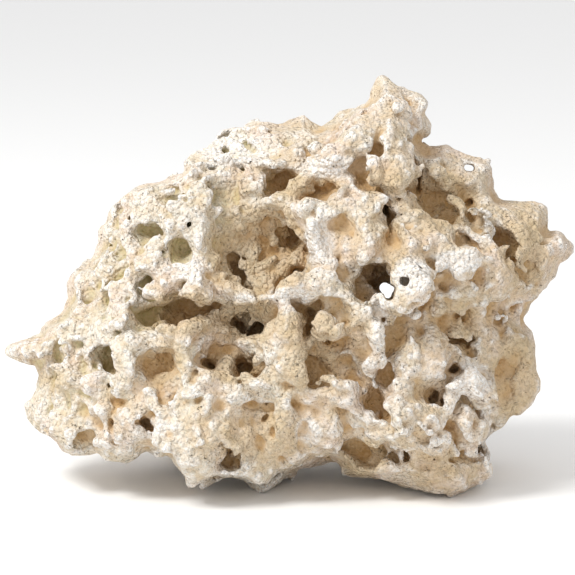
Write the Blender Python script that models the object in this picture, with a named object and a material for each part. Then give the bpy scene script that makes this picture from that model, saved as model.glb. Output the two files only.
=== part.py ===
"""Reef base rock: one weathered, porous block of pale coral limestone, about 0.29 m wide.

The rock is shaped as a field on a grid of points, negative inside the stone, and its surface is then
meshed. The grid lies in the plane of the front view, in millimetres: across (to the right), up, and near
(towards the viewer, from the middle of the rock). That view looks down on the rock by VIEW_TILT from
VIEW_DISTANCE, so a point that is nearer is drawn larger and lower, and stand_up() turns it all into the
rock's real shape on its base.
"""
import math

import bpy
import numpy as np

VIEW_TILT = math.radians(10)
VIEW_DISTANCE = 1300.0
VIEW_CENTRE = (3.75, 106.25)
BASE_DROP = 8.4
BASE_CENTRE = (1.6, 23.7)
GRID_LOW = np.array([-146.0, -8.0, -92.0])
GRID_HIGH = np.array([154.0, 220.0, 96.0])
EDGE_ROUNDING = 78.0
FRONT_DEPTH = (70.0, 0.11)
BACK_DEPTH = (76.0, 0.16)
RIM_LEAN = 0.25
RIM_FALL = 11.0
NOTCH_REACH = 9.0
SIDE_SWELL = 2.6
THROUGH_HOLES = [(52.4, 105.6, 2.6), (55.6, 105.2, 2.4), (54.0, 102.8, 2.8), (93.6, 166.2, 1.7),
                 (95.6, 166.0, 1.6)]
GRID_STEP = 2.4
WANDER = [(24, 1.2), (11, 0.9), (5.5, 0.8)]
WEATHERING = [(16, 1.8), (9, 1.3)]
SCATTER = [(24, (7, 15), 0.85, 0.35, 3, 30), (14, (4, 8), 0.6, 0.45, 5, 18)]
EASE_TIMES = 3
TRIANGLES = 9400
BASE_SNAP = 0.0004
STONE_COLOUR = (0.78, 0.70, 0.58, 1.0)
STONE_ROUGHNESS = 0.9

# The rock's outline in the front view, from its left-hand tip over the top.
OUTLINE = [
    (-139.5, 74), (-136, 78.5), (-130, 81.5), (-120, 83.5), (-118, 89), (-110, 94), (-106, 101),
    (-107, 108), (-104, 116), (-98, 120), (-95, 126), (-94, 132), (-91, 138), (-87.5, 142), (-87, 149),
    (-80, 155), (-72, 158), (-67, 161), (-58, 162), (-50, 165), (-51, 171), (-46, 174), (-40, 177),
    (-33, 180), (-30, 185), (-22, 187.5), (-16, 188), (-11, 191.5), (-5, 191.5), (0, 189), (8, 191),
    (12, 193), (16, 190), (21, 187), (26, 190), (30, 194.5), (37, 196.5), (42, 198), (45, 201), (46, 206),
    (49, 211), (51, 213), (57, 210.5), (64, 205), (71, 203), (75, 199), (72.5, 193), (76, 188), (76, 183.5),
    (72, 180), (74, 177.5), (84, 178), (90, 174.5), (97, 171.5), (105, 170.5), (108, 167), (107.5, 156),
    (110, 152), (117, 151), (127, 151), (134, 147), (135.5, 141), (135, 136), (139, 137.5), (143, 135),
    (147, 128), (146.5, 124), (143, 120), (140, 118), (138, 111), (134, 106), (129, 101.5), (125, 98),
    (124, 94), (121.5, 91), (122.5, 87.5), (126, 84.5), (127, 78), (127.5, 70), (127.5, 64.5), (130, 60),
    (130.5, 54.5), (127, 48.5), (121, 43), (116, 41.5), (112, 36.5), (107.5, 33.5), (103.5, 29), (106, 25),
    (107, 18), (106.5, 11), (102, 7), (95, 4), (89, 1.5), (82, 0), (77, 0.5), (70, 3), (60, 7), (52, 9.5),
    (40, 10.5), (31, 11.5), (28, 17), (25, 18), (22, 15.5), (16, 14), (10, 14), (8, 10), (5, 6.5), (-4, 5),
    (-10, 2), (-14, 5), (-18, 9), (-25, 10), (-33, 9), (-38, 6), (-43, 3.5), (-48, 5.5), (-50, 11),
    (-54, 15), (-57, 20), (-63, 20), (-67, 24), (-69, 24), (-71, 20), (-77, 19), (-88, 19.5), (-91, 23),
    (-95, 22), (-104, 21.5), (-109, 24), (-111, 29), (-115, 32), (-120, 33.5), (-124, 37), (-127, 42),
    (-128, 48), (-124, 52), (-121.5, 56), (-121, 62), (-123, 66.5), (-130, 68), (-137, 70.5),
]


def soft_min(one, other, soft):
    """The smaller of two fields, rounded where they meet."""
    share = np.maximum(soft - np.abs(one - other), 0) / soft
    return np.minimum(one, other) - share * share * soft / 4


def soft_max(one, other, soft):
    return -soft_min(-one, -other, soft)


def spline_weights(count, step, wavelength):
    """Cubic B-spline weights that spread a row of knots over `count` grid points."""
    at = np.arange(count) * step / wavelength
    first = np.floor(at).astype(int)
    t = at - first
    weights = np.zeros((count, first[-1] + 4), np.float32)
    parts = ((1 - t) ** 3, 3 * t**3 - 6 * t**2 + 4, -3 * t**3 + 3 * t**2 + 3 * t + 1, t**3)
    for offset, part in enumerate(parts):
        weights[np.arange(count), first + offset] = part / 6
    return weights


def box_mean(values, axis, half):
    """Mean over `half` grid points to either side along one axis."""
    count = values.shape[axis]
    none = np.zeros_like(values.take([0], axis))
    total = np.concatenate([none, np.cumsum(values, axis, dtype=values.dtype)], axis)
    high = np.minimum(np.arange(count) + half + 1, count)
    low = np.maximum(np.arange(count) - half, 0)
    width = (high - low).astype(np.float32)
    width = width.reshape([-1 if i == axis else 1 for i in range(values.ndim)])
    return (total.take(high, axis) - total.take(low, axis)) / width


def ellipsoid_field(across, up, near, radii):
    ra, ru, rn = radii
    outer = np.sqrt((across / ra) ** 2 + (up / ru) ** 2 + (near / rn) ** 2) + 1e-6
    slope = np.sqrt((across / ra**2) ** 2 + (up / ru**2) ** 2 + (near / rn**2) ** 2) + 1e-6
    return outer * (outer - 1) / slope


class Rock:
    """The stone as a field on a grid of points `step` millimetres apart."""

    def __init__(self, step):
        self.step = step
        self.shape = tuple(int(v) for v in np.ceil((GRID_HIGH - GRID_LOW) / step) + 1)
        self.axes = [GRID_LOW[i] + np.arange(self.shape[i]) * step for i in range(3)]
        self.inside = self.outline_distance()
        self.worn_inside = self.inside
        for axis in (0, 1, 0, 1):
            self.worn_inside = box_mean(self.worn_inside, axis, round(NOTCH_REACH / step))
        across, up, near = np.meshgrid(*self.axes, indexing="ij", sparse=True)
        bend = [self.wander(seed) for seed in (11, 12, 13)]
        self.across = (across + bend[0]).astype(np.float32)
        self.up = (up + bend[1]).astype(np.float32)
        self.near = (near + bend[2]).astype(np.float32)
        self.off_rim = np.abs(near - self.rim_depth()[:, :, None])
        self.field = self.boulder()
        self.find_face()

    def noise(self, wavelength, seed):
        """Smooth random field of about unit size, the same at any grid step."""
        knots = np.floor((GRID_HIGH - GRID_LOW + 4) / wavelength).astype(int) + 5
        values = np.random.default_rng(seed).standard_normal(knots).astype(np.float32)
        weights = [spline_weights(self.shape[i], self.step, wavelength) for i in range(3)]
        values = values[: weights[0].shape[1], : weights[1].shape[1], : weights[2].shape[1]]
        out = np.tensordot(weights[0], values, (1, 0))
        out = np.einsum("ju,auk->ajk", weights[1], out, optimize=True)
        return np.matmul(out, weights[2].T) / 0.36

    def wander(self, seed):
        """Shift of every form from its drawn place, so that none keeps a regular edge."""
        return sum(size * self.noise(wavelength, seed + 10 * i)
                   for i, (wavelength, size) in enumerate(WANDER))

    def outline_distance(self):
        """Distance in from the front view's outline, negative outside it."""
        across, up = np.meshgrid(self.axes[0], self.axes[1], indexing="ij")
        nearest = np.full(across.shape, 1e9)
        inside = np.zeros(across.shape, bool)
        for (x0, y0), (x1, y1) in zip(OUTLINE, OUTLINE[1:] + OUTLINE[:1]):
            ex, ey = x1 - x0, y1 - y0
            t = np.clip(((across - x0) * ex + (up - y0) * ey) / (ex * ex + ey * ey), 0, 1)
            nearest = np.minimum(nearest, np.hypot(across - x0 - t * ex, up - y0 - t * ey))
            if y0 != y1:
                inside ^= ((y0 > up) != (y1 > up)) & (across < ex * (up - y0) / ey + x0)
        return np.where(inside, nearest, -nearest)

    def rim_depth(self):
        """How near the outline's own edge lies: it wanders, and is nearer low down."""
        wander = 16 * self.noise(70, 31)[:, :, self.shape[2] // 2]
        return wander + RIM_LEAN * (VIEW_CENTRE[1] - self.axes[1][None, :])

    def trim_to_outline(self):
        """Nothing shows beyond the outline, which is only reached near the depth of its edge."""
        away = np.clip((self.off_rim - 4) / 30, 0, 1)
        rim = away * (2 + 5 * np.abs(self.noise(22, 62))) - self.inside[:, :, None] + 0.5 * self.noise(5, 61)
        self.field = soft_max(self.field, rim.astype(np.float32), 2)

    def boulder(self):
        """The outline filled out into a body, deepest low down in the middle, whose sides fall away in
        front of its edge and behind it and lose the outline's notches there."""
        up = self.axes[1][None, :, None]
        front = FRONT_DEPTH[0] - FRONT_DEPTH[1] * up
        back = BACK_DEPTH[0] - BACK_DEPTH[1] * up
        depth = np.where(self.near > 0, front, back)
        away = np.clip((self.off_rim - 4) / 40, 0, 1)
        inset = self.inside[:, :, None] * (1 - away) + self.worn_inside[:, :, None] * away
        inset = inset + 1 - away * (RIM_FALL + SIDE_SWELL * self.noise(28, 35))
        x = np.clip(1 - inset / EDGE_ROUNDING, 0, None)
        y = self.near / depth
        outer = np.sqrt(x * x + y * y) + 1e-6
        slope = np.sqrt((x / (EDGE_ROUNDING * outer)) ** 2 + (y / (depth * outer)) ** 2) + 1e-4
        return ((outer - 1) / slope).astype(np.float32)

    def find_face(self):
        """How near the front surface lies at each point of the front view."""
        solid = self.field < 0
        last = self.shape[2] - 1 - np.argmax(solid[:, :, ::-1], axis=2)
        face = self.axes[2][last]
        face[~solid.any(axis=2)] = 0
        for _ in range(3):
            ring = sum(np.roll(face, shift, axis) for axis in (0, 1) for shift in (1, -1))
            face = (face + ring) / 5
        self.face = face

    def grid_index(self, point):
        index = np.round((np.array(point) - GRID_LOW[: len(point)]) / self.step).astype(int)
        return tuple(np.clip(index, 0, np.array(self.shape[: len(point)]) - 1))

    def depth_of(self, across, up, proud, from_middle):
        return proud if from_middle else float(self.face[self.grid_index((across, up))]) + proud

    def window(self, low, high):
        first = np.clip(np.floor((np.array(low) - GRID_LOW) / self.step).astype(int), 0, None)
        last = np.minimum(np.ceil((np.array(high) - GRID_LOW) / self.step).astype(int) + 1, self.shape)
        return tuple(slice(int(p), int(q)) for p, q in zip(first, np.maximum(first, last)))

    def bent(self, point):
        """Where a point lies once the forms' edges have wandered: it keeps its drawn place."""
        at = self.grid_index(point[:3])
        return (self.across[at], self.up[at], self.near[at]) + tuple(point[3:])

    def ball_field(self, where, centre, radii, turn):
        """An ellipsoid, turned anticlockwise in the front view."""
        middle = self.bent(centre)
        across = self.across[where] - middle[0]
        up = self.up[where] - middle[1]
        c, s = math.cos(math.radians(turn)), math.sin(math.radians(turn))
        return ellipsoid_field(across * c + up * s, up * c - across * s, self.near[where] - middle[2], radii)

    def rod_field(self, where, start, end):
        """A tapered rod with round ends."""
        start, end = self.bent(start), self.bent(end)
        run = [q - p for p, q in zip(start, end)]
        off = [grid[where] - p for grid, p in zip((self.across, self.up, self.near), start)]
        t = sum(o * e for o, e in zip(off, run[:3])) / (sum(e * e for e in run[:3]) + 1e-9)
        t = np.clip(t, 0, 1)
        return np.sqrt(sum((o - t * e) ** 2 for o, e in zip(off, run[:3]))) - (start[3] + t * run[3])

    def ball(self, grow, centre, radii, turn, soft):
        reach = max(radii) + 10 + soft
        where = self.window([c - reach for c in centre], [c + reach for c in centre])
        form = self.ball_field(where, centre, radii, turn)
        old = self.field[where]
        self.field[where] = soft_min(old, form, soft) if grow else soft_max(old, -form, soft)

    def rod(self, grow, points, soft, from_middle):
        placed = [(a, u, self.depth_of(a, u, proud, from_middle), r) for a, u, proud, r in points]
        for start, end in zip(placed, placed[1:]):
            reach = max(start[3], end[3]) + 10 + soft
            low = [min(start[i], end[i]) - reach for i in range(3)]
            high = [max(start[i], end[i]) + reach for i in range(3)]
            where = self.window(low, high)
            form = self.rod_field(where, start, end)
            old = self.field[where]
            self.field[where] = soft_min(old, form, soft) if grow else soft_max(old, -form, soft)

    def lump(self, across, up, proud, radii, turn=0, soft=3, from_middle=False):
        self.ball(True, (across, up, self.depth_of(across, up, proud, from_middle)), radii, turn, soft)

    def pit(self, across, up, proud, radii, turn=0, soft=1.2, from_middle=False):
        self.ball(False, (across, up, self.depth_of(across, up, proud, from_middle)), radii, turn, soft)

    def ridge(self, points, soft=3, from_middle=False):
        self.rod(True, points, soft, from_middle)

    def groove(self, points, soft=1.2, from_middle=False):
        self.rod(False, points, soft, from_middle)

    def tunnel(self, across, up, radius):
        """A small hole that goes straight through along the view."""
        where = self.window((across - 20, up - 20, GRID_LOW[2]), (across + 20, up + 20, GRID_HIGH[2]))
        a, u = np.meshgrid(self.axes[0][where[0]] - across, self.axes[1][where[1]] - up, indexing="ij")
        bore = radius - np.hypot(a, u)[:, :, None] + 0.5 * self.noise(7, 71)[where]
        self.field[where] = soft_max(self.field[where], bore.astype(np.float32), 1)

    def scatter(self, cell, sizes, share, lump_share, seed, behind):
        """A pit or a lump in some cells of a jittered grid, wherever the surface passes; the larger ones only
        `behind` the front by that much, because the forms of the front are drawn one by one."""
        rng = np.random.default_rng(seed)
        counts = np.ceil((GRID_HIGH - GRID_LOW) / cell).astype(int)
        for place in np.ndindex(*counts):
            draws = rng.random(9)
            point = GRID_LOW + (np.array(place) + draws[:3]) * cell
            if (point > GRID_HIGH).any() or draws[3] > share:
                continue
            radius = sizes[0] + (sizes[1] - sizes[0]) * draws[4] ** 2
            at = self.grid_index(point)
            if abs(self.field[at]) > 0.55 * radius or point[2] > self.face[at[:2]] - behind:
                continue
            radii = radius * (0.7 + 0.6 * draws[5:8])
            grow = draws[8] < lump_share
            self.ball(grow, point, tuple(radii), 360 * draws[4], 2.5 if grow else 1.6)


def masses(rock):
    # blocks of the lower front
    rock.lump(-38, 36, -4, (25, 24, 20), 8, soft=6)
    rock.lump(-13, 28, -6, (17, 19, 18), soft=5)
    rock.lump(16, 36, -4, (22, 23, 18), soft=6)
    rock.lump(62, 38, -8, (34, 15, 20), -10, soft=5)
    rock.lump(68, 17, -6, (36, 12, 18), -8, soft=4)
    rock.lump(-76, 34, -6, (16, 17, 18), soft=6)
    rock.lump(-104, 36, -6, (12, 14, 14), soft=5)
    # shoulder of the upper left, spur and right-hand ridge
    rock.lump(-50, 138, -8, (24, 36, 20), 15, soft=9)
    rock.ridge([(52, 200, -2, 14), (46, 178, 0, 15), (34, 150, 0, 12)], soft=8)
    rock.ridge([(60, 165, 2, 9), (66, 114, 4, 11), (64, 96, 0, 9)], soft=8)
    rock.lump(86, 112, -3, (20, 15, 13), -25, soft=7)
    # the long recess, from the arch down to the low wall
    rock.pit(-12, 124, 4, (24, 22, 29), -15, soft=5)
    rock.pit(2, 122, 3, (14, 15, 27), soft=3)
    rock.pit(-20, 92, 4, (22, 13, 25), -4, soft=4)
    rock.pit(-50, 95, 4, (24, 8.5, 17), 3, soft=3)
    rock.pit(-26, 70, 3, (19, 10, 17), 4, soft=4)
    rock.pit(24, 71, 5, (17, 18, 10), 10, soft=4)
    rock.pit(12, 88, 2, (9, 9, 10), soft=3)
    # broad hollows of the two ends
    rock.pit(-60, 68, 3, (13, 12, 7), soft=4)
    rock.pit(-91, 67, 3, (14, 11, 8), soft=3)
    rock.pit(-113, 64, 3, (7, 14, 6), soft=3)
    rock.pit(113, 129, 4, (8, 15, 14), 24, soft=3)
    rock.pit(116, 62, 1, (11, 17, 9), soft=4)
    rock.pit(71, 156, 5, (9, 17, 12), 30, soft=4)
    rock.pit(92, 152, 6, (14, 10, 12), 40, soft=4)
    rock.pit(57, 82, 4, (6, 12, 8), soft=3)
    rock.pit(79, 91, 3, (12, 9, 7), 15, soft=4)
    # undercut below the lower right ledge
    rock.groove([(31, 26, 1, 2.6), (38, 27.5, 0, 3), (49, 27, 0, 3), (53, 24, 0, 2.4), (57, 21.5, 1, 1.8)])
    rock.groove([(62, 23, 1, 1.6), (70, 23, 1, 2), (78, 20.5, 1, 2), (84, 20, 1, 2)])


def upper_left(rock):
    rock.ridge([(-36, 172, -2, 8), (-40, 152, 0, 8), (-40, 128, 1, 7), (-39, 108, 0, 6)], soft=5)
    rock.ridge([(-30, 182, -5, 7), (-10, 184, -7, 8), (14, 186, -8, 8)], soft=5)
    rock.ridge([(-70, 152, -2, 6), (-74, 138, 0, 5), (-72, 120, 0, 5), (-76, 108, 0, 5)], soft=4)
    rock.ridge([(-86, 142, -3, 6), (-88, 124, -2, 5), (-88, 106, -2, 5), (-80, 94, 0, 5)], soft=4)
    rock.ridge([(-66, 117, 1, 5), (-52, 115, 1, 5), (-42, 112, 0, 5)], soft=4)
    rock.ridge([(-54, 126, 1, 4), (-51, 137, 2, 4.5), (-50, 146, 1, 4)], soft=3)
    rock.ridge([(-100, 112, -1, 5), (-99, 98, -1, 5), (-102, 86, -1, 5)], soft=4)
    rock.lump(-28, 158, -3, (13, 15, 9), soft=4)
    rock.pit(-29, 160, 3, (9, 11, 5.5), soft=3)
    rock.pit(-36, 146, 1, (4, 5, 3), soft=2)
    # two olive pits, and the small ones round them
    rock.pit(-63.5, 134.5, -1, (7.6, 6.6, 9), -6)
    rock.pit(-58.3, 134, -7, (3, 4.4, 9))
    rock.pit(-50, 125.5, 3, (7, 4.8, 5.6), -10)
    rock.pit(-46, 125, -1, (2.4, 3.6, 7))
    rock.pit(-57.5, 124, 0, (1.8, 1.6, 6))
    rock.groove([(-68.3, 125, 0, 1), (-66, 123.5, -1, 1.3), (-62.6, 122.6, -1, 1.1)])
    rock.pit(-46.5, 139.5, 4, (7, 4.4, 6), -6)
    rock.pit(-61.5, 145, 0, (1.6, 2.4, 7))
    rock.pit(-56, 152, 3, (5, 3.8, 5))
    rock.groove([(-50.4, 149, -1, 1.4), (-47.2, 151.6, -2, 1.2)])
    rock.pit(-80, 147.5, 0, (2.6, 3.4, 7))
    rock.pit(-75, 143, 0, (1.8, 2, 6))
    rock.pit(-84.5, 127, 0, (1.8, 2.8, 8))
    rock.pit(-81, 123, 1, (5, 3.2, 7))
    rock.pit(-81, 112.5, 2, (6.5, 7.5, 7), -35)
    rock.pit(-95, 104, 1, (3, 4.6, 7))
    rock.pit(-91.5, 107, 0, (1.6, 2, 6))
    rock.pit(-87, 101.5, 1, (3.4, 2.8, 6))
    rock.pit(-92, 117, 1, (4, 4, 6))
    rock.pit(-57, 158, 0, (5, 3, 5))
    rock.pit(-27, 182, 0, (3, 2.2, 5), 25)
    rock.pit(-27, 174.5, 0, (4.5, 2.2, 4))
    rock.pit(-16, 178, 0, (4, 3, 4))
    rock.pit(-44, 166, 1, (4, 3, 4))
    rock.groove([(-20.5, 168, -1, 2), (-17.5, 164, -2, 2.6), (-15.5, 161, -2, 1.8)])
    rock.pit(-86.3, 91.6, -2, (2.8, 1.4, 9))
    rock.pit(-90, 87, 0, (2.4, 3.2, 7))
    rock.pit(-97.5, 86.5, 0, (3.4, 3.2, 6))
    # pit with a lump in it, above the left end of the long recess
    rock.pit(-67, 105.5, 5, (8, 7.6, 15))
    rock.pit(-62, 108, -2, (3.6, 3.6, 13))
    rock.lump(-63, 101.5, 1, (3, 2.8, 4), 10, soft=1.5)
    rock.groove([(-54, 109, -1, 1.2), (-50, 109.8, -2, 1.5), (-46.5, 108, -1, 1.1)])
    # arched hole in the smooth wall
    rock.pit(-23, 117.5, -3, (5.4, 9, 10), 8)
    rock.pit(-20.5, 111, -2, (5, 6, 7), 20)
    rock.pit(-21.5, 114.5, -4, (4.6, 7.5, 9), 12)
    rock.pit(-21, 117, -9, (1.8, 3.2, 9))


def middle(rock):
    # lobed lumps and the ridge that close the dome above
    rock.ridge([(-15, 162, 1, 4.5), (-14.5, 154, 3, 5.5), (-15, 147, 0, 5)], soft=2)
    rock.lump(0.5, 151.5, 3, (6.4, 4.6, 7), soft=2)
    rock.lump(7, 145, 2, (5, 6, 6), -20, soft=2)
    rock.lump(-6, 168, 1, (12, 3.6, 8), 4, soft=2)
    rock.ridge([(-4, 149, -1, 4.5), (5, 144, 1, 4), (12.5, 138.5, 3, 4.6), (19, 131, 4, 5), (22, 118, 4, 5)],
               soft=2.5)
    rock.pit(-2, 159.5, 0, (8.4, 5.4, 10), 12)
    rock.pit(-5, 155, -1, (4, 4.6, 9))
    rock.pit(5, 161, -4, (4.5, 4.5, 12), 20)
    # black pockets of the recess
    rock.pit(8, 131.5, -2, (8, 7.5, 15), -35)
    rock.groove([(0, 138, -2, 1.8), (5, 136.5, -3, 3), (11, 132.5, -4, 3.6), (14, 127.5, -4, 3),
                 (14, 124, -4, 2)])
    rock.pit(10.5, 115, -3, (7, 3.2, 14), -6)
    rock.groove([(-8, 127, 0, 1.1), (-4, 125.5, 0, 1.3), (-1, 126, 0, 1)])
    rock.pit(-6, 141, 0, (1.6, 1.4, 5))
    rock.ridge([(-6, 118, 0, 4), (2, 121.5, 0, 3), (9, 121, 0, 3)], soft=3)
    rock.ridge([(-12, 108, -1, 4), (-2, 108, -1, 4)], soft=4)
    # the long hollow: one smooth band with black slits along its lower edge
    rock.pit(-49, 96.5, 3, (22, 7, 17), 5, soft=2)
    rock.pit(-57, 91, 3, (17, 8, 16), soft=2)
    rock.pit(-64, 90.5, 3, (8, 9, 14), 18, soft=2)
    rock.pit(-53, 99.5, 0, (3, 1.4, 4))
    rock.lump(-43.5, 86, 4, (4, 4.4, 6), soft=1.5)
    rock.groove([(-60.5, 92.5, -12, 1.8), (-56, 91, -13, 2.4), (-51.5, 91, -12, 1.8)])
    rock.groove([(-47, 92, -12, 1.6), (-44, 93, -13, 2), (-38.5, 92.6, -12, 1.8)])
    rock.pit(-58.5, 84.5, -3, (3.4, 1.8, 7))
    # white lumps that hang above the black pocket
    rock.lump(-17.5, 102, 4, (5, 4, 7), soft=1.5)
    rock.lump(-9.5, 101, 4, (4.6, 3.6, 6), soft=1.5)
    rock.groove([(-26, 89.5, -3, 1.8), (-22.5, 85, -5, 3), (-18.5, 82.5, -6, 3.2), (-14, 82.5, -5, 2)])
    rock.groove([(-16, 96, -2, 2), (-13.5, 91, -3, 2.4)])
    # lip, knob and tongue that bound it below
    rock.ridge([(-73, 86, 0, 3.5), (-69, 79, 1, 3.6), (-60, 77.5, 1, 3.6), (-52, 79, 2, 3.6),
                (-46, 83, 3, 4)], soft=2.5)
    rock.ridge([(-37, 88, 1, 4), (-31, 86, 1, 4), (-26.5, 80, 1, 4), (-21, 77, 0, 3.4)], soft=2.5)
    rock.ridge([(-20, 77, -1, 3.4), (-4, 79, -1, 4.6), (3, 84, 0, 5), (2, 96, 0, 4)], soft=4)


def arch_and_column(rock):
    # tongue that hangs down to the left
    rock.ridge([(40, 178, -1, 9), (29, 168, 4, 9.6), (19.5, 161.5, 6, 8.6), (12, 158, 7, 6.4),
                (8.5, 155.5, 6, 4.8)], soft=1.5)
    rock.lump(24, 144, 6, (9, 8, 9), -15, soft=2)
    rock.lump(13, 145, 6, (6, 4.6, 7), soft=2)
    rock.ridge([(30, 150, 1, 4), (24, 144, 4, 4.5), (17, 136, 4, 4.5)], soft=3)
    rock.groove([(3.5, 154.5, 2, 1.8), (8, 150, 2, 1.8), (15, 149.4, 2, 1.8), (22, 151.5, 2, 1.8),
                 (29, 155.5, 2, 1.8), (32, 150, 1, 1.6)])
    # smooth slab that overhangs the great hole
    rock.ridge([(37, 153, 0, 7), (41, 142, 4, 9.5), (42, 129, 5, 9), (43, 123, 6, 6.5)], soft=2.5)
    rock.lump(30, 131, 1, (9, 13, 9), soft=4)
    rock.lump(26, 139.5, 3, (9, 7, 8), soft=3)
    # knob that ends in a point over the brown valley, and the black crevice below it
    rock.ridge([(56, 176, 2, 7), (60, 166, 5, 8), (58, 158, 5, 6), (54, 153, 3, 4)], soft=2)
    rock.lump(48, 161, 4, (6, 6, 7), soft=2)
    rock.pit(52.5, 165.5, 5, (2.4, 2.2, 4))
    rock.pit(41.5, 163.5, 3, (6.5, 6.5, 8), soft=2)
    rock.pit(49.5, 175, 2, (3, 4.6, 6.5))
    rock.groove([(37.5, 156.5, 4, 2), (43, 155, 3, 2.6), (49, 152.5, 2, 3), (52.5, 148, 1, 3.6),
                 (54, 142, 0, 3.6), (52.5, 138, 0, 2.6)], soft=0.8)
    rock.pit(53.6, 146.5, 6, (4, 6.8, 26), 8)
    rock.pit(55, 143, 6, (3.2, 4.8, 24))
    rock.groove([(55, 141.5, -2, 1.4), (62, 142.3, -1, 1.1)])
    rock.pit(50.5, 137.5, 1, (4, 2.2, 11), 20)
    rock.pit(66, 165, 1, (4, 10, 12), 12)
    rock.groove([(60, 153, 0, 1.4), (62, 156, 0, 1.8), (68, 160, 0, 2)])
    # spire
    rock.ridge([(60, 202, -1, 6), (58, 192, 1, 7), (54, 184, 1, 7)], soft=3)
    rock.ridge([(68, 204, -1, 4), (70, 196, 0, 3.6), (73, 188, -1, 3.6)], soft=2)
    rock.pit(66.5, 198.5, 1, (2.8, 4.8, 12), 8)
    rock.pit(63, 180.5, 1, (5, 2.8, 12), 12)
    rock.pit(42, 194, 0, (2.8, 4, 7))
    rock.pit(39, 186, 0, (2.6, 3.4, 5))
    rock.pit(53, 196, 1, (2.4, 2, 4))
    rock.pit(14, 175, 0, (4.5, 3.2, 4), -40)
    rock.pit(12, 184, 0, (4, 2.6, 4))
    rock.pit(3, 178, 0, (3.4, 4, 3))
    rock.pit(26, 181, 0, (2.4, 2.6, 3))
    rock.pit(24, 190, 0, (3, 2, 3))
    rock.pit(-6, 183, 0, (3.5, 2.5, 3))


def great_hole(rock):
    # funnel, and the way right through to the back of the rock
    rock.pit(45.5, 109.5, -3, (10, 9.2, 26), 3, soft=1.5)
    rock.pit(42, 108, -1, (7.5, 8, 14), soft=1.5)
    rock.pit(50, 112, -18, (8, 7, 24), soft=2)
    rock.pit(52, 107, -70, (13, 11, 30), soft=2, from_middle=True)
    rock.pit(53, 106, -30, (9, 9, 34), soft=2, from_middle=True)
    # shelf to the left of it
    rock.ridge([(5, 104, 3, 5), (12, 106, 5, 6.5), (23, 107, 3, 6.5), (33, 103, 1, 6)], soft=2.5)
    rock.pit(15, 95, 0, (8, 4, 14), -6)
    rock.pit(11, 95.5, -2, (3, 2.6, 12))
    rock.pit(19.5, 95, -2, (3.4, 2.4, 12), -25)
    rock.pit(17, 87, 1, (6, 8, 9), soft=2)
    # white pillar on its right
    rock.ridge([(60, 117, 1, 4), (64, 109, 4, 5.6), (68, 102, 4, 6), (58, 95, 3, 5), (53, 88, 2, 4)],
               soft=2.5)
    rock.pit(52.5, 113, 2, (5.6, 7, 26), 6)
    rock.pit(52.5, 106, 1, (5.6, 5.6, 24))
    rock.groove([(35, 113, 0, 1.6), (38, 116.5, -1, 1.9), (43, 116.5, -2, 1.6)])
    rock.pit(68, 114.5, 1, (5.8, 3.8, 6), -4)
    rock.pit(81.5, 106.5, -1, (3.4, 2.5, 10), -20)
    rock.pit(92, 115, 0, (2, 1.8, 5))
    rock.lump(84, 119, -1, (12, 7, 8), -20, soft=4)
    # flap and notches under the shelf
    rock.ridge([(33, 99, 1, 5), (40, 93, 2, 4.6), (48.5, 86, 5, 4.6), (49.5, 78, 5, 4.2), (48, 68, 4, 4),
                (46, 60, 3, 4)], soft=2)
    rock.lump(27, 87, 5, (8, 4.6, 7), -4, soft=1.5)
    rock.lump(20, 83.5, 5, (3.4, 3.4, 5), soft=1.5)
    rock.pit(25.5, 78.5, 0, (5.6, 2.6, 11), -8)
    rock.groove([(36.3, 92, 0, 1.1), (39, 88.5, -1, 2), (42.5, 85, -1, 1.8)])
    rock.ridge([(2, 98, -1, 4), (3.5, 84, 0, 4), (6, 72, 0, 4), (12, 60, 1, 4)], soft=3)
    rock.groove([(13, 68.5, 0, 1.3), (16.5, 66, 0, 1.5)])


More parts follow.
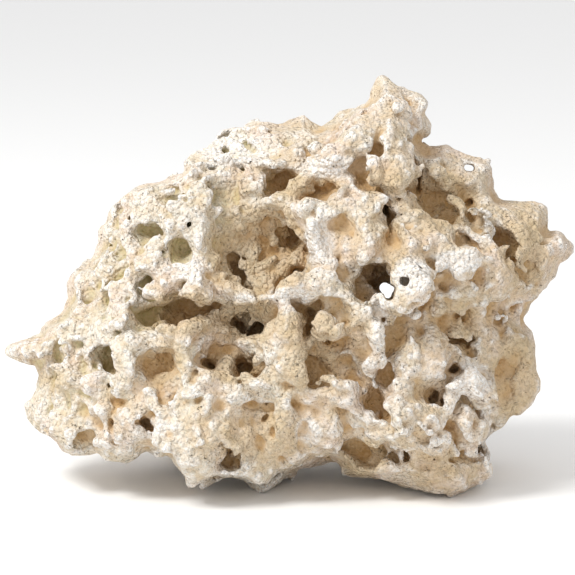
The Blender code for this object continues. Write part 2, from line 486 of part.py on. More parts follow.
def right_side(rock):
    # two long slanting crests, each above a lower slope
    rock.ridge([(70, 178, 0, 4), (75, 170, 2, 3.6), (80, 162, 3, 3.6), (85, 151, 4, 4), (95, 142, 4, 4),
                (104, 135, 4, 4), (109, 127, 4, 4), (113, 117, 3, 4.6), (119, 109, 1, 5)], soft=2.5)
    rock.ridge([(65, 143, 2, 3.4), (73, 137, 4, 3.6), (79, 133, 4, 3.6), (94, 134, 4, 3.6),
                (100, 128, 3, 3.6), (104, 121, 2, 4)], soft=2.5)
    rock.ridge([(66, 128, 1, 5), (80, 126, 3, 5.5), (95, 121, 2, 6), (106, 112, 1, 6)], soft=5)
    rock.ridge([(104, 112, 0, 6), (120, 106, 0, 6), (128, 108, -1, 6)], soft=6)
    rock.ridge([(80, 176, 0, 6), (94, 172, 0, 6), (104, 166, -1, 6), (106, 156, -1, 5)], soft=4)
    rock.ridge([(112, 147, 0, 5.5), (124, 146, -1, 6), (130, 136, -1, 6), (130, 122, -1, 6)], soft=4)
    rock.lump(140, 127, -1, (7.5, 9, 11), soft=2)
    rock.groove([(131.5, 138, 0, 2), (132.5, 128, 0, 3), (132, 121, 0, 2)], soft=2)
    rock.groove([(108, 131, -4, 2), (110.5, 125, -5, 2.6), (114, 118, -5, 2.2)])
    rock.pit(125, 114, 1, (6.4, 4.6, 7), soft=2)
    rock.pit(97.6, 143, 14, (5, 5.4, 20))
    rock.pit(96.5, 147, 6, (3.4, 2.6, 22), -15)
    rock.groove([(81.5, 165.5, 0, 1.4), (84, 163.5, -1, 1.6), (87.5, 165, 0, 1.2)])
    rock.pit(84, 141, 0, (4.6, 2.8, 6), -25, soft=2)
    rock.pit(78, 129, 0, (6, 1.6, 4), -6)
    rock.pit(100, 111, 4, (3.6, 7.5, 6), soft=2)
    rock.groove([(128.5, 112.5, 0, 1.1), (128.7, 107, 0, 1.1)])
    rock.pit(111.5, 89.5, 0, (3.6, 5, 7))
    rock.pit(88.8, 92, 0, (3, 2.8, 9))
    rock.pit(86.8, 94.5, -1, (1.2, 1, 6))
    rock.pit(118, 96, 0, (3, 3, 4))
    rock.groove([(100.5, 63, -1, 1.6), (105.5, 61, -1, 1.3)])
    rock.pit(54.5, 63.5, 3, (5.8, 7.6, 9.5), -15)
    rock.pit(67.8, 55.3, -1, (2.6, 3.6, 13), -15)
    rock.pit(74, 53, 3, (4.6, 6, 7))
    rock.pit(76.5, 50, 2, (3, 3.7, 17))
    rock.pit(81.3, 51, 2, (3.4, 3.9, 17))
    rock.pit(97.3, 44.7, 0, (3, 4.2, 9))
    rock.groove([(42.5, 57, 0, 2.4), (47, 54, -2, 3.2), (49, 48, -2, 2.8), (51, 44.5, -3, 2.6),
                 (52, 41, -2, 2)])
    # white block, and the ridges between the pits
    rock.ridge([(87, 57, 8, 5), (95, 57.5, 10, 6.4), (102, 54, 9, 5)], soft=1.5)
    rock.ridge([(86, 54, 4, 4), (84, 46, 3, 4)], soft=2)
    rock.ridge([(88, 46, 1, 4), (92, 40, 1, 4.5), (94, 34, 0, 5)], soft=3)
    rock.ridge([(58, 51, 3, 5), (62, 42, 2, 6), (76, 38, 1, 5)], soft=3)
    rock.ridge([(60, 56, 1, 4), (63, 66, 1, 4), (66, 76, 1, 4)], soft=3)
    rock.ridge([(78, 100, 1, 4), (73, 90, 1, 4), (77, 80, 1, 4), (80, 68, 1, 4), (74, 62, 1, 4)], soft=4)
    rock.ridge([(114, 84, -1, 5), (122, 74, -1, 5), (124, 62, -1, 5), (122, 50, -2, 6)], soft=4)
    rock.ridge([(96, 30, -1, 5), (100, 18, -1, 5)], soft=3)
    rock.lump(36, 52, 4, (6, 6, 6), soft=2)
    # slot above the white block, and the pits on either side of it
    rock.pit(91.5, 79, 8, (10.5, 3.4, 24), 1)
    rock.pit(93.5, 76.8, 8, (4.8, 5.2, 24), -20)
    rock.pit(115, 127, 2, (6, 13, 8.5), 24, soft=2)
    rock.pit(116, 120, 3, (4.5, 10, 11), 24, soft=2)
    rock.pit(84.5, 77.2, 1, (2.2, 2.4, 10))
    rock.pit(88.8, 66, 1, (3.4, 2.4, 13), -12)
    rock.pit(86.5, 32.5, 7, (4.4, 5.2, 19), 20)
    rock.pit(46, 51.5, 3, (3.4, 7, 13), 25)
    rock.pit(51, 43.5, 1, (2.6, 4, 14))
    rock.pit(38.5, 22.5, 5, (13, 7.6, 15), -6, soft=1.5)


def lower_left(rock):
    rock.ridge([(-136, 74, 0, 4), (-128, 75, 0, 6), (-119, 74, -1, 8)], soft=3)
    rock.ridge([(-78, 90, 0, 4.5), (-74.5, 80, 1, 5), (-75, 66, 1, 5), (-80, 56, 1, 5)], soft=3)
    rock.ridge([(-91, 58, 2, 4), (-89, 46, 3, 4.5), (-88, 32, 2, 4.5), (-87, 23, 0, 4)], soft=3)
    rock.ridge([(-106, 84, 1, 4), (-106.5, 68, 1, 3.5), (-104, 58, 1, 4), (-92, 55, 1, 4)], soft=3)
    rock.ridge([(-50, 82, 1, 4), (-47, 70, 2, 4), (-46, 58, 3, 5)], soft=3)
    rock.ridge([(-100, 82, 1, 4), (-90, 81, 2, 4), (-80, 82, 1, 4)], soft=3)
    rock.lump(-73, 40, 0, (10, 16, 11), soft=5)
    # pit with a black slot under its upper edge
    rock.pit(-84.5, 67, 3, (7, 9.4, 10))
    rock.pit(-97.5, 66.5, 3, (6.8, 7.2, 8))
    rock.groove([(-92, 73, -3, 1.7), (-87, 73, -6, 2), (-82, 72, -6, 1.7), (-79.3, 69.5, -4, 1.5)])
    rock.pit(-113.5, 77, 2, (5, 3.2, 5))
    rock.pit(-110.5, 77, 0, (1.7, 2.6, 8))
    rock.pit(-112, 62, 3, (5.8, 11, 7.5), -6)
    rock.pit(-113, 50, 0, (7.6, 2.4, 5))
    rock.pit(-117, 45.5, 2, (7.6, 5, 7), 25)
    rock.pit(-114.5, 50.5, -2, (2.4, 1.6, 9))
    rock.pit(-107, 50.7, -1, (2.2, 1.3, 9))
    rock.pit(-98.5, 52, 1, (3.6, 2.8, 5))
    rock.pit(-98, 45, 1, (3.4, 4, 6))
    rock.pit(-97.5, 30, 3, (5.4, 6.2, 6.5))
    rock.pit(-93.5, 30, 0, (1.2, 2.6, 6))
    # smooth hollow in the middle of the left
    rock.pit(-62, 68, 4, (12, 9, 9.5), -8, soft=2)
    rock.pit(-65, 68, 0, (1.6, 2.4, 5))
    rock.ridge([(-63, 54, 2, 4), (-60, 42, 2, 4), (-58, 28, 1, 4.5)], soft=2)
    rock.pit(-57, 51, 5, (5.8, 6.4, 7))
    rock.groove([(-54.6, 48.5, 0, 0.9), (-55, 44.5, -1, 1)])
    rock.groove([(-53.5, 52.5, 0, 0.9), (-52, 54, 0, 0.9)])
    rock.ridge([(-67, 50, -2, 6), (-66, 42, -1, 7), (-66, 33, -2, 6)], soft=3)
    rock.pit(-66.7, 37.5, 6, (4.8, 1.5, 14), -8)
    rock.pit(-64, 26, 0, (3.4, 2.2, 10), -30)


def lower_middle(rock):
    # plateau block, with a black pit on either side of its tongue
    rock.ridge([(-45, 54, 2, 5), (-36, 56, 3, 5.5), (-26, 53, 2, 5)], soft=3)
    rock.pit(-29, 74, 1, (7.6, 3.4, 9))
    rock.groove([(-27, 74.5, -1, 1.6), (-22.5, 74.5, -3, 2.2), (-19, 73, -4, 2.4)])
    rock.ridge([(-32, 61, 2, 4), (-26.5, 65, 3, 4), (-24.6, 69, 3, 3)], soft=1.2)
    rock.ridge([(-10, 61, 1, 4), (-4, 66, 2, 5), (3, 64, 2, 5), (9, 60, 2, 4)], soft=3)
    rock.ridge([(-22, 53, 2, 5), (-12, 54, 2, 5), (4, 54, 2, 5), (20, 55, 2, 5), (34, 56, 2, 5)], soft=3)
    # wedge between the blocks, wider below
    rock.pit(-28.6, 29, 3, (2.4, 4.6, 20), 10)
    rock.pit(-26.5, 24, 3, (4.2, 5.2, 22))
    rock.pit(-24, 19, -3, (6, 6.5, 15), 20)
    rock.pit(-10, 31, 5, (12, 11, 8), soft=3)
    rock.ridge([(-27, 33, 1, 2.6), (-22.5, 27.5, 2, 2.8), (-21, 25, 1, 2.4)], soft=1.5)
    rock.ridge([(3, 50, 1, 4.5), (3, 36, 2, 5), (8, 24, 1, 5)], soft=3)
    rock.ridge([(26, 50, 1, 4.5), (26, 38, 2, 5), (27, 28, 1, 4.5)], soft=3)
    rock.pit(15, 30, 2, (6, 8, 5), soft=2)
    rock.pit(-36, 67.6, -1, (4.8, 2.8, 14), -22)
    rock.pit(-38.6, 69, -2, (2.4, 2.2, 12))
    rock.pit(-18, 67, 12, (8, 8.6, 32), 4)
    rock.pit(-21, 87, 3, (4.4, 7, 19), 25)
    rock.pit(-16, 83.2, 2, (6.4, 3.6, 18))
    rock.pit(-19, 85, 2, (5.4, 4.6, 18), -35)
    rock.pit(17, 65, 3, (10, 11, 8), soft=2)
    rock.pit(27, 58.5, 2, (2, 2.6, 14), 30)
    rock.pit(14, 67.5, -3, (1.4, 2.4, 6), 30)
    rock.ridge([(-46, 12, -2, 5), (-36, 9, -2, 5)], soft=3)
    rock.ridge([(-12, 12, -2, 6), (-6, 9, -2, 5)], soft=3)
    rock.lump(99, 34, -2, (9, 10, 10), soft=4)
    rock.lump(60, 22, -5, (6, 5, 7), soft=2)
    rock.groove([(38, 29, 1, 2.6), (50, 25.5, 2, 3), (60, 22.5, 2, 3), (72, 21, 2, 2.8), (86, 20, 2, 2)])


def back_and_underside(rock):
    # feet that stand out of sight behind the front ones
    rock.lump(-38, 24, -46, (18, 16, 20), soft=10, from_middle=True)
    rock.lump(80, 28, -40, (24, 20, 22), soft=10, from_middle=True)
    # arches below
    rock.pit(16, 4, 0, (17, 14, 80), soft=6, from_middle=True)
    rock.pit(-28, 2, -10, (12, 11, 34), soft=5, from_middle=True)
    rock.pit(40, 0, -46, (24, 18, 26), soft=6, from_middle=True)
    # great hollows of the back
    rock.pit(-40, 96, -84, (34, 24, 22), 10, soft=6, from_middle=True)
    rock.pit(30, 140, -76, (24, 28, 20), -20, soft=6, from_middle=True)
    rock.pit(92, 84, -72, (24, 24, 20), soft=6, from_middle=True)
    rock.pit(4, 60, -86, (22, 18, 18), soft=5, from_middle=True)
    rock.pit(-92, 60, -54, (22, 18, 20), soft=5, from_middle=True)
    rock.ridge([(-76, 120, -52, 12), (-20, 132, -66, 12), (20, 100, -74, 13), (60, 60, -72, 12)], soft=8,
               from_middle=True)


def carve_stone(step, weathering):
    """The finished field. `weathering` lists (wavelength, height) of the fine relief, in millimetres."""
    rock = Rock(step)
    for region in (masses, upper_left, middle, arch_and_column, great_hole, right_side, lower_left,
                   lower_middle):
        region(rock)
        rock.find_face()
    back_and_underside(rock)
    for cell, sizes, share, lump_share, seed, behind in SCATTER:
        rock.scatter(cell, sizes, share, lump_share, seed, behind)
    for seed, (wavelength, height) in enumerate(weathering, 41):
        rock.field += (height * (np.abs(rock.noise(wavelength, seed)) - 0.8)).astype(np.float32)
    for across, up, radius in THROUGH_HOLES:
        rock.tunnel(across, up, radius)
    rock.trim_to_outline()
    return rock


def stand_up(points):
    """Turns grid millimetres of the front view into metres of the standing rock."""
    across, up, near = points[:, 0], points[:, 1], points[:, 2]
    shrink = 1 - near / VIEW_DISTANCE
    x = (across - VIEW_CENTRE[0]) * shrink
    w = VIEW_CENTRE[1] + (up - VIEW_CENTRE[1]) * shrink
    c, s = math.cos(VIEW_TILT), math.sin(VIEW_TILT)
    x_y_z = (x - BASE_CENTRE[0], w * s - near * c - BASE_CENTRE[1], w * c + near * s - BASE_DROP)
    return np.stack(x_y_z, axis=1) / 1000


def level_base(rock):
    """Cuts the feet level where the rock rests, and closes the field at the edge of its grid."""
    up, near = np.meshgrid(rock.axes[1], rock.axes[2], indexing="ij")
    points = np.stack([np.zeros(up.size), up.ravel(), near.ravel()], axis=1)
    height = stand_up(points)[:, 2].reshape(up.shape) * 1000
    rock.field = np.maximum(rock.field, -height[None].astype(np.float32))
    rock.field = np.pad(rock.field[1:-1, 1:-1, 1:-1], 1, constant_values=5.0)
    rock.field[rock.field == 0] = 1e-4


def shifted(field, offset):
    """A view of the field with one grid point less each way, starting at the offset."""
    return field[tuple(slice(o, n - 1 + o) for o, n in zip(offset, field.shape))]


def join_diagonals(field):
    """Fills each place where stone meets stone only along an edge or at a corner of the grid, which would
    leave a surface that touches itself."""
    corners = [(i, j, k) for i in (0, 1) for j in (0, 1) for k in (0, 1)]
    for _ in range(40):
        filled = 0
        for b, c in ((0, 1), (0, 2), (1, 2)):
            offsets = []
            for db, dc in ((0, 0), (0, 1), (1, 0), (1, 1)):
                slices = [slice(None)] * 3
                slices[b] = slice(db, field.shape[b] - 1 + db)
                slices[c] = slice(dc, field.shape[c] - 1 + dc)
                offsets.append(tuple(slices))
            solid = [field[o] < 0 for o in offsets]
            for one, other, gap in ((0, 3, 1), (1, 2, 0)):
                rest = [i for i in range(4) if i not in (one, other)]
                bad = solid[one] & solid[other] & ~solid[rest[0]] & ~solid[rest[1]]
                field[offsets[gap]][bad] = -0.02
                filled += int(bad.sum())
        solid = {corner: shifted(field, corner) < 0 for corner in corners}
        total = sum(part.astype(np.int8) for part in solid.values())
        for corner in corners[:4]:
            far = tuple(1 - v for v in corner)
            beside = (corner[0], corner[1], 1 - corner[2])
            for bad, gap in ((solid[corner] & solid[far] & (total == 2), beside),
                             (~solid[corner] & ~solid[far] & (total == 6), corner)):
                shifted(field, gap)[bad] = -0.02
                filled += int(bad.sum())
        if not filled:
            return


def skin(rock):
    """Points and four-sided faces of the field's surface: one point in each grid cell that it crosses."""
    field, shape = rock.field, rock.field.shape
    solid = field < 0
    cells, crossings, faces = [], [], []
    for axis in range(3):
        lower = [slice(None)] * 3
        upper = [slice(None)] * 3
        lower[axis], upper[axis] = slice(0, -1), slice(1, None)
        start = np.argwhere(solid[tuple(lower)] != solid[tuple(upper)])
        end = start.copy()
        end[:, axis] += 1
        value, next_value = field[tuple(start.T)], field[tuple(end.T)]
        crossing = start.astype(float)
        crossing[:, axis] += value / (value - next_value)
        ring = []
        for second, third in ((0, 0), (-1, 0), (-1, -1), (0, -1)):
            cell = start.copy()
            cell[:, (axis + 1) % 3] += second
            cell[:, (axis + 2) % 3] += third
            ring.append((cell[:, 0] * shape[1] + cell[:, 1]) * shape[2] + cell[:, 2])
            cells.append(ring[-1])
            crossings.append(crossing)
        ring = np.stack(ring, axis=1)
        inward = value >= 0
        ring[inward] = ring[inward][:, ::-1]
        faces.append(ring)
    names, index = np.unique(np.concatenate(cells), return_inverse=True)
    crossings = np.concatenate(crossings)
    count = np.bincount(index)
    points = np.stack([np.bincount(index, crossings[:, i]) / count for i in range(3)], axis=1)
    return points * rock.step + GRID_LOW, np.searchsorted(names, np.concatenate(faces))


def largest_shell(points, faces):
    """Drops loose crumbs and sealed bubbles."""
    label = np.arange(len(points))
    while True:
        lowest = label[faces].min(axis=1)
        joined = label.copy()
        np.minimum.at(joined, faces.ravel(), np.repeat(lowest, 4))
        joined = joined[joined]
        if (joined == label).all():
            break
        label = joined
    kept = label == np.bincount(label).argmax()
    faces = faces[kept[faces[:, 0]]]
    return points[kept], (np.cumsum(kept) - 1)[faces]


def stone_material():
    material = bpy.data.materials.new("coral_limestone")
    material.use_nodes = True
    shader = material.node_tree.nodes["Principled BSDF"]
    shader.inputs["Base Color"].default_value = STONE_COLOUR
    shader.inputs["Roughness"].default_value = STONE_ROUGHNESS
    shader.inputs["Metallic"].default_value = 0.0
    return material


def thin_out(mesh):
    """The same surface in far fewer triangles."""
    full = bpy.data.objects.new("full_surface", mesh)
    bpy.context.scene.collection.objects.link(full)
    triangles = 2 * len(mesh.polygons)
    collapse = full.modifiers.new("collapse", "DECIMATE")
    collapse.ratio = TRIANGLES / triangles
    evaluated = full.evaluated_get(bpy.context.evaluated_depsgraph_get())
    thinned = bpy.data.meshes.new_from_object(evaluated)
    bpy.data.objects.remove(full)
    return thinned


def level_feet(mesh):
    """Puts the points of the cut feet exactly on the base plane."""
    for vertex in mesh.vertices:
        if vertex.co.z < BASE_SNAP:
            vertex.co.z = 0.0


def ease(field, times):
    """Takes off whatever is too small for the faceted solid."""
    for _ in range(times):
        inner = field[1:-1, 1:-1, 1:-1]
        ring = sum(np.roll(field, shift, axis)[1:-1, 1:-1, 1:-1] for axis in range(3) for shift in (1, -1))
        field[1:-1, 1:-1, 1:-1] = (2 * inner + ring) / 8


def build_rock():
    rock = carve_stone(GRID_STEP, WEATHERING)
    ease(rock.field, EASE_TIMES)
    level_base(rock)
    join_diagonals(rock.field)
    points, faces = largest_shell(*skin(rock))
    mesh = bpy.data.meshes.new("rock")
    mesh.from_pydata(stand_up(points).tolist(), [], faces.tolist())
    mesh = thin_out(mesh)
    mesh.name = "rock"
    level_feet(mesh)
    mesh.materials.append(stone_material())
    mesh.shade_smooth()
    bpy.context.scene.collection.objects.link(bpy.data.objects.new("rock", mesh))


for old in list(bpy.data.objects):
    bpy.data.objects.remove(old)
build_rock()
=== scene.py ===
"""Reef base rock: looks.

The stone's own surface is rebuilt here from the same named forms as the solid, on a finer grid and with
the small scatter of pits, the scalloped weathering and the grain that the faceted solid leaves out. It
stands for the node "rock" and lies where that node is. Its colour comes from nodes alone: chalk on the
crests, whitened further as painted highlight where nothing encloses them; tan and brown stain in the
hollows together with painted shade, darker the more enclosed they are; painted shade on the right-hand
side and in listed areas of the front, and painted highlight in other listed areas; olive growth in the
pits of the left side; and pores.
"""

import math

import bpy
import numpy as np
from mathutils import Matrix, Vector


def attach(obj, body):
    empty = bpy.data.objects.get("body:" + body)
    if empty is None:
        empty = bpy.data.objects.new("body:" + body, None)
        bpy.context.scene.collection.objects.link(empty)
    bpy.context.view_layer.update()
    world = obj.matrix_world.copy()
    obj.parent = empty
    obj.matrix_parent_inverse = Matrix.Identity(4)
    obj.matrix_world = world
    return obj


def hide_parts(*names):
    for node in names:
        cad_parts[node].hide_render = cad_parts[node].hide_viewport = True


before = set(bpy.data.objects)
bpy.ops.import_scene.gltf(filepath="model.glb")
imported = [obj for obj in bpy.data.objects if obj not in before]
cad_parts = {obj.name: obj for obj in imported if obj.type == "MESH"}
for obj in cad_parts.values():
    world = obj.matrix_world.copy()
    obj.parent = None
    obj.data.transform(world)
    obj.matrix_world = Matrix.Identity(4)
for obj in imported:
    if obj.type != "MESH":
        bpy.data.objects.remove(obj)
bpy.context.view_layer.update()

# Lengths are in millimetres, as the forms are, unless a line says otherwise.
VIEW_TILT = math.radians(10)
VIEW_DISTANCE = 1300.0
VIEW_CENTRE = (3.75, 106.25)
BASE_DROP = 8.4
BASE_CENTRE = (1.6, 23.7)
GRID_LOW = np.array([-146.0, -8.0, -92.0])
GRID_HIGH = np.array([154.0, 220.0, 96.0])
EDGE_ROUNDING = 78.0
FRONT_DEPTH = (70.0, 0.11)
BACK_DEPTH = (76.0, 0.16)
RIM_LEAN = 0.25
RIM_FALL = 11.0
RIM_BAND = 4
RIM_WANDER = 16
FALL_REACH = 40
TRIM_REACH = 30
NOTCH_REACH = 9.0
SIDE_SWELL = 2.6
THROUGH_HOLES = [(52.4, 105.6, 2.6), (55.6, 105.2, 2.4), (54.0, 102.8, 2.8), (93.6, 166.2, 1.7),
                 (95.6, 166.0, 1.6)]
GRID_STEP = 1.1
WANDER = [(24, 1.2), (11, 0.9), (5.5, 0.8), (3.2, 0.8)]
WEATHERING = [(16, 1.8), (9, 1.3), (5, -1.1), (3, -0.7)]
SCATTER = [(24, (7, 15), 0.85, 0.35, 3, 30), (14, (4, 8), 0.6, 0.45, 5, 18),
           (8, (1.2, 3.4), 0.6, 0.3, 7, 6)]
TRIANGLES = 196000
# How far the spline noise spreads, how far beyond its size a form is felt, and the field's value where a
# gap is filled.
NOISE_SPREAD = 0.36
FORM_MARGIN = 10
JUST_INSIDE = -0.02
# How far round each point the stone is counted for each hollow measure. The colour uses these for painted
# shade in the hollows, together with real stain, and for painted highlight on the open crests.
HOLLOW_REACH = {"pit": 2.4, "hollow": 6.0, "cave_shade_and_stain": 13.0}
# Areas of the front darkened as painted shade together with brown stain, mostly in the hollows and on the
# right-hand side: (across, up, half width, half height, strength), in the front view's millimetres.
SHADE_AND_STAIN_AREAS = [
    (-11, 124, 31, 29, 1.0), (-48, 93, 31, 13, 1.0), (-15, 89, 23, 15, 0.9), (16, 75, 19, 27, 0.9),
    (-24, 67, 19, 13, 0.8), (13, 157, 27, 10, 0.7), (80, 150, 24, 26, 0.7), (122, 126, 17, 27, 0.7),
    (117, 62, 15, 28, 0.8), (-10, 31, 34, 20, 0.6), (42, 21, 17, 12, 0.8), (88, 88, 16, 17, 0.7),
    (50, 160, 16, 9, 0.8), (57, 128, 9, 18, 0.7), (-58, 67, 13, 14, 0.7), (-21, 154, 14, 14, 0.5),
    (56, 84, 11, 15, 0.6), (-113, 60, 11, 12, 0.5), (80, 16, 26, 12, 0.5), (36, 85, 12, 17, 0.5),
]
# Areas of the front whitened as painted highlight on lit faces and ledge tops, together with pale chalky
# stone: the same columns.
HIGHLIGHT_AND_CHALK_AREAS = [
    (20, 130, 10, 20, 1.0), (50, 88, 5, 17, 1.0), (66, 112, 12, 12, 0.9), (95, 59, 15, 12, 1.0),
    (88, 119, 18, 8, 0.8), (14, 34, 9, 10, 0.8), (26, 166, 24, 8, 0.8), (-46, 116, 13, 12, 0.7),
    (5, 102, 15, 6, 0.9), (-63, 36, 12, 8, 0.7), (-18, 101, 8, 4, 0.7), (-22, 175, 30, 12, 0.7),
]
FRONT_FROM = -10
# The view is 287.5 mm wide at the rock, so this is the lens in millimetres for a sensor of that width.
VIEW_WIDTH = 287.5
SENSOR_WIDTH = 36.0
CAMERA_LENS = SENSOR_WIDTH * VIEW_DISTANCE / VIEW_WIDTH

# The rock's outline in the front view, from its left-hand tip over the top.
OUTLINE = [
    (-139.5, 74), (-136, 78.5), (-130, 81.5), (-120, 83.5), (-118, 89), (-110, 94), (-106, 101),
    (-107, 108), (-104, 116), (-98, 120), (-95, 126), (-94, 132), (-91, 138), (-87.5, 142), (-87, 149),
    (-80, 155), (-72, 158), (-67, 161), (-58, 162), (-50, 165), (-51, 171), (-46, 174), (-40, 177),
    (-33, 180), (-30, 185), (-22, 187.5), (-16, 188), (-11, 191.5), (-5, 191.5), (0, 189), (8, 191),
    (12, 193), (16, 190), (21, 187), (26, 190), (30, 194.5), (37, 196.5), (42, 198), (45, 201), (46, 206),
    (49, 211), (51, 213), (57, 210.5), (64, 205), (71, 203), (75, 199), (72.5, 193), (76, 188), (76, 183.5),
    (72, 180), (74, 177.5), (84, 178), (90, 174.5), (97, 171.5), (105, 170.5), (108, 167), (107.5, 156),
    (110, 152), (117, 151), (127, 151), (134, 147), (135.5, 141), (135, 136), (139, 137.5), (143, 135),
    (147, 128), (146.5, 124), (143, 120), (140, 118), (138, 111), (134, 106), (129, 101.5), (125, 98),
    (124, 94), (121.5, 91), (122.5, 87.5), (126, 84.5), (127, 78), (127.5, 70), (127.5, 64.5), (130, 60),
    (130.5, 54.5), (127, 48.5), (121, 43), (116, 41.5), (112, 36.5), (107.5, 33.5), (103.5, 29), (106, 25),
    (107, 18), (106.5, 11), (102, 7), (95, 4), (89, 1.5), (82, 0), (77, 0.5), (70, 3), (60, 7), (52, 9.5),
    (40, 10.5), (31, 11.5), (28, 17), (25, 18), (22, 15.5), (16, 14), (10, 14), (8, 10), (5, 6.5), (-4, 5),
    (-10, 2), (-14, 5), (-18, 9), (-25, 10), (-33, 9), (-38, 6), (-43, 3.5), (-48, 5.5), (-50, 11),
    (-54, 15), (-57, 20), (-63, 20), (-67, 24), (-69, 24), (-71, 20), (-77, 19), (-88, 19.5), (-91, 23),
    (-95, 22), (-104, 21.5), (-109, 24), (-111, 29), (-115, 32), (-120, 33.5), (-124, 37), (-127, 42),
    (-128, 48), (-124, 52), (-121.5, 56), (-121, 62), (-123, 66.5), (-130, 68), (-137, 70.5),
]


def soft_min(one, other, soft):
    """The smaller of two fields, rounded where they meet."""
    share = np.maximum(soft - np.abs(one - other), 0) / soft
    return np.minimum(one, other) - share * share * soft / 4


def soft_max(one, other, soft):
    return -soft_min(-one, -other, soft)


def spline_weights(count, step, wavelength):
    """Cubic B-spline weights that spread a row of knots over `count` grid points."""
    at = np.arange(count) * step / wavelength
    first = np.floor(at).astype(int)
    t = at - first
    weights = np.zeros((count, first[-1] + 4), np.float32)
    parts = ((1 - t) ** 3, 3 * t**3 - 6 * t**2 + 4, -3 * t**3 + 3 * t**2 + 3 * t + 1, t**3)
    for offset, part in enumerate(parts):
        weights[np.arange(count), first + offset] = part / 6
    return weights


def box_mean(values, axis, half):
    """Mean over `half` grid points to either side along one axis."""
    count = values.shape[axis]
    none = np.zeros_like(values.take([0], axis))
    total = np.concatenate([none, np.cumsum(values, axis, dtype=values.dtype)], axis)
    high = np.minimum(np.arange(count) + half + 1, count)
    low = np.maximum(np.arange(count) - half, 0)
    width = (high - low).astype(np.float32)
    width = width.reshape([-1 if i == axis else 1 for i in range(values.ndim)])
    return (total.take(high, axis) - total.take(low, axis)) / width


def ellipsoid_field(across, up, near, radii):
    ra, ru, rn = radii
    outer = np.sqrt((across / ra) ** 2 + (up / ru) ** 2 + (near / rn) ** 2) + 1e-6
    slope = np.sqrt((across / ra**2) ** 2 + (up / ru**2) ** 2 + (near / rn**2) ** 2) + 1e-6
    return outer * (outer - 1) / slope


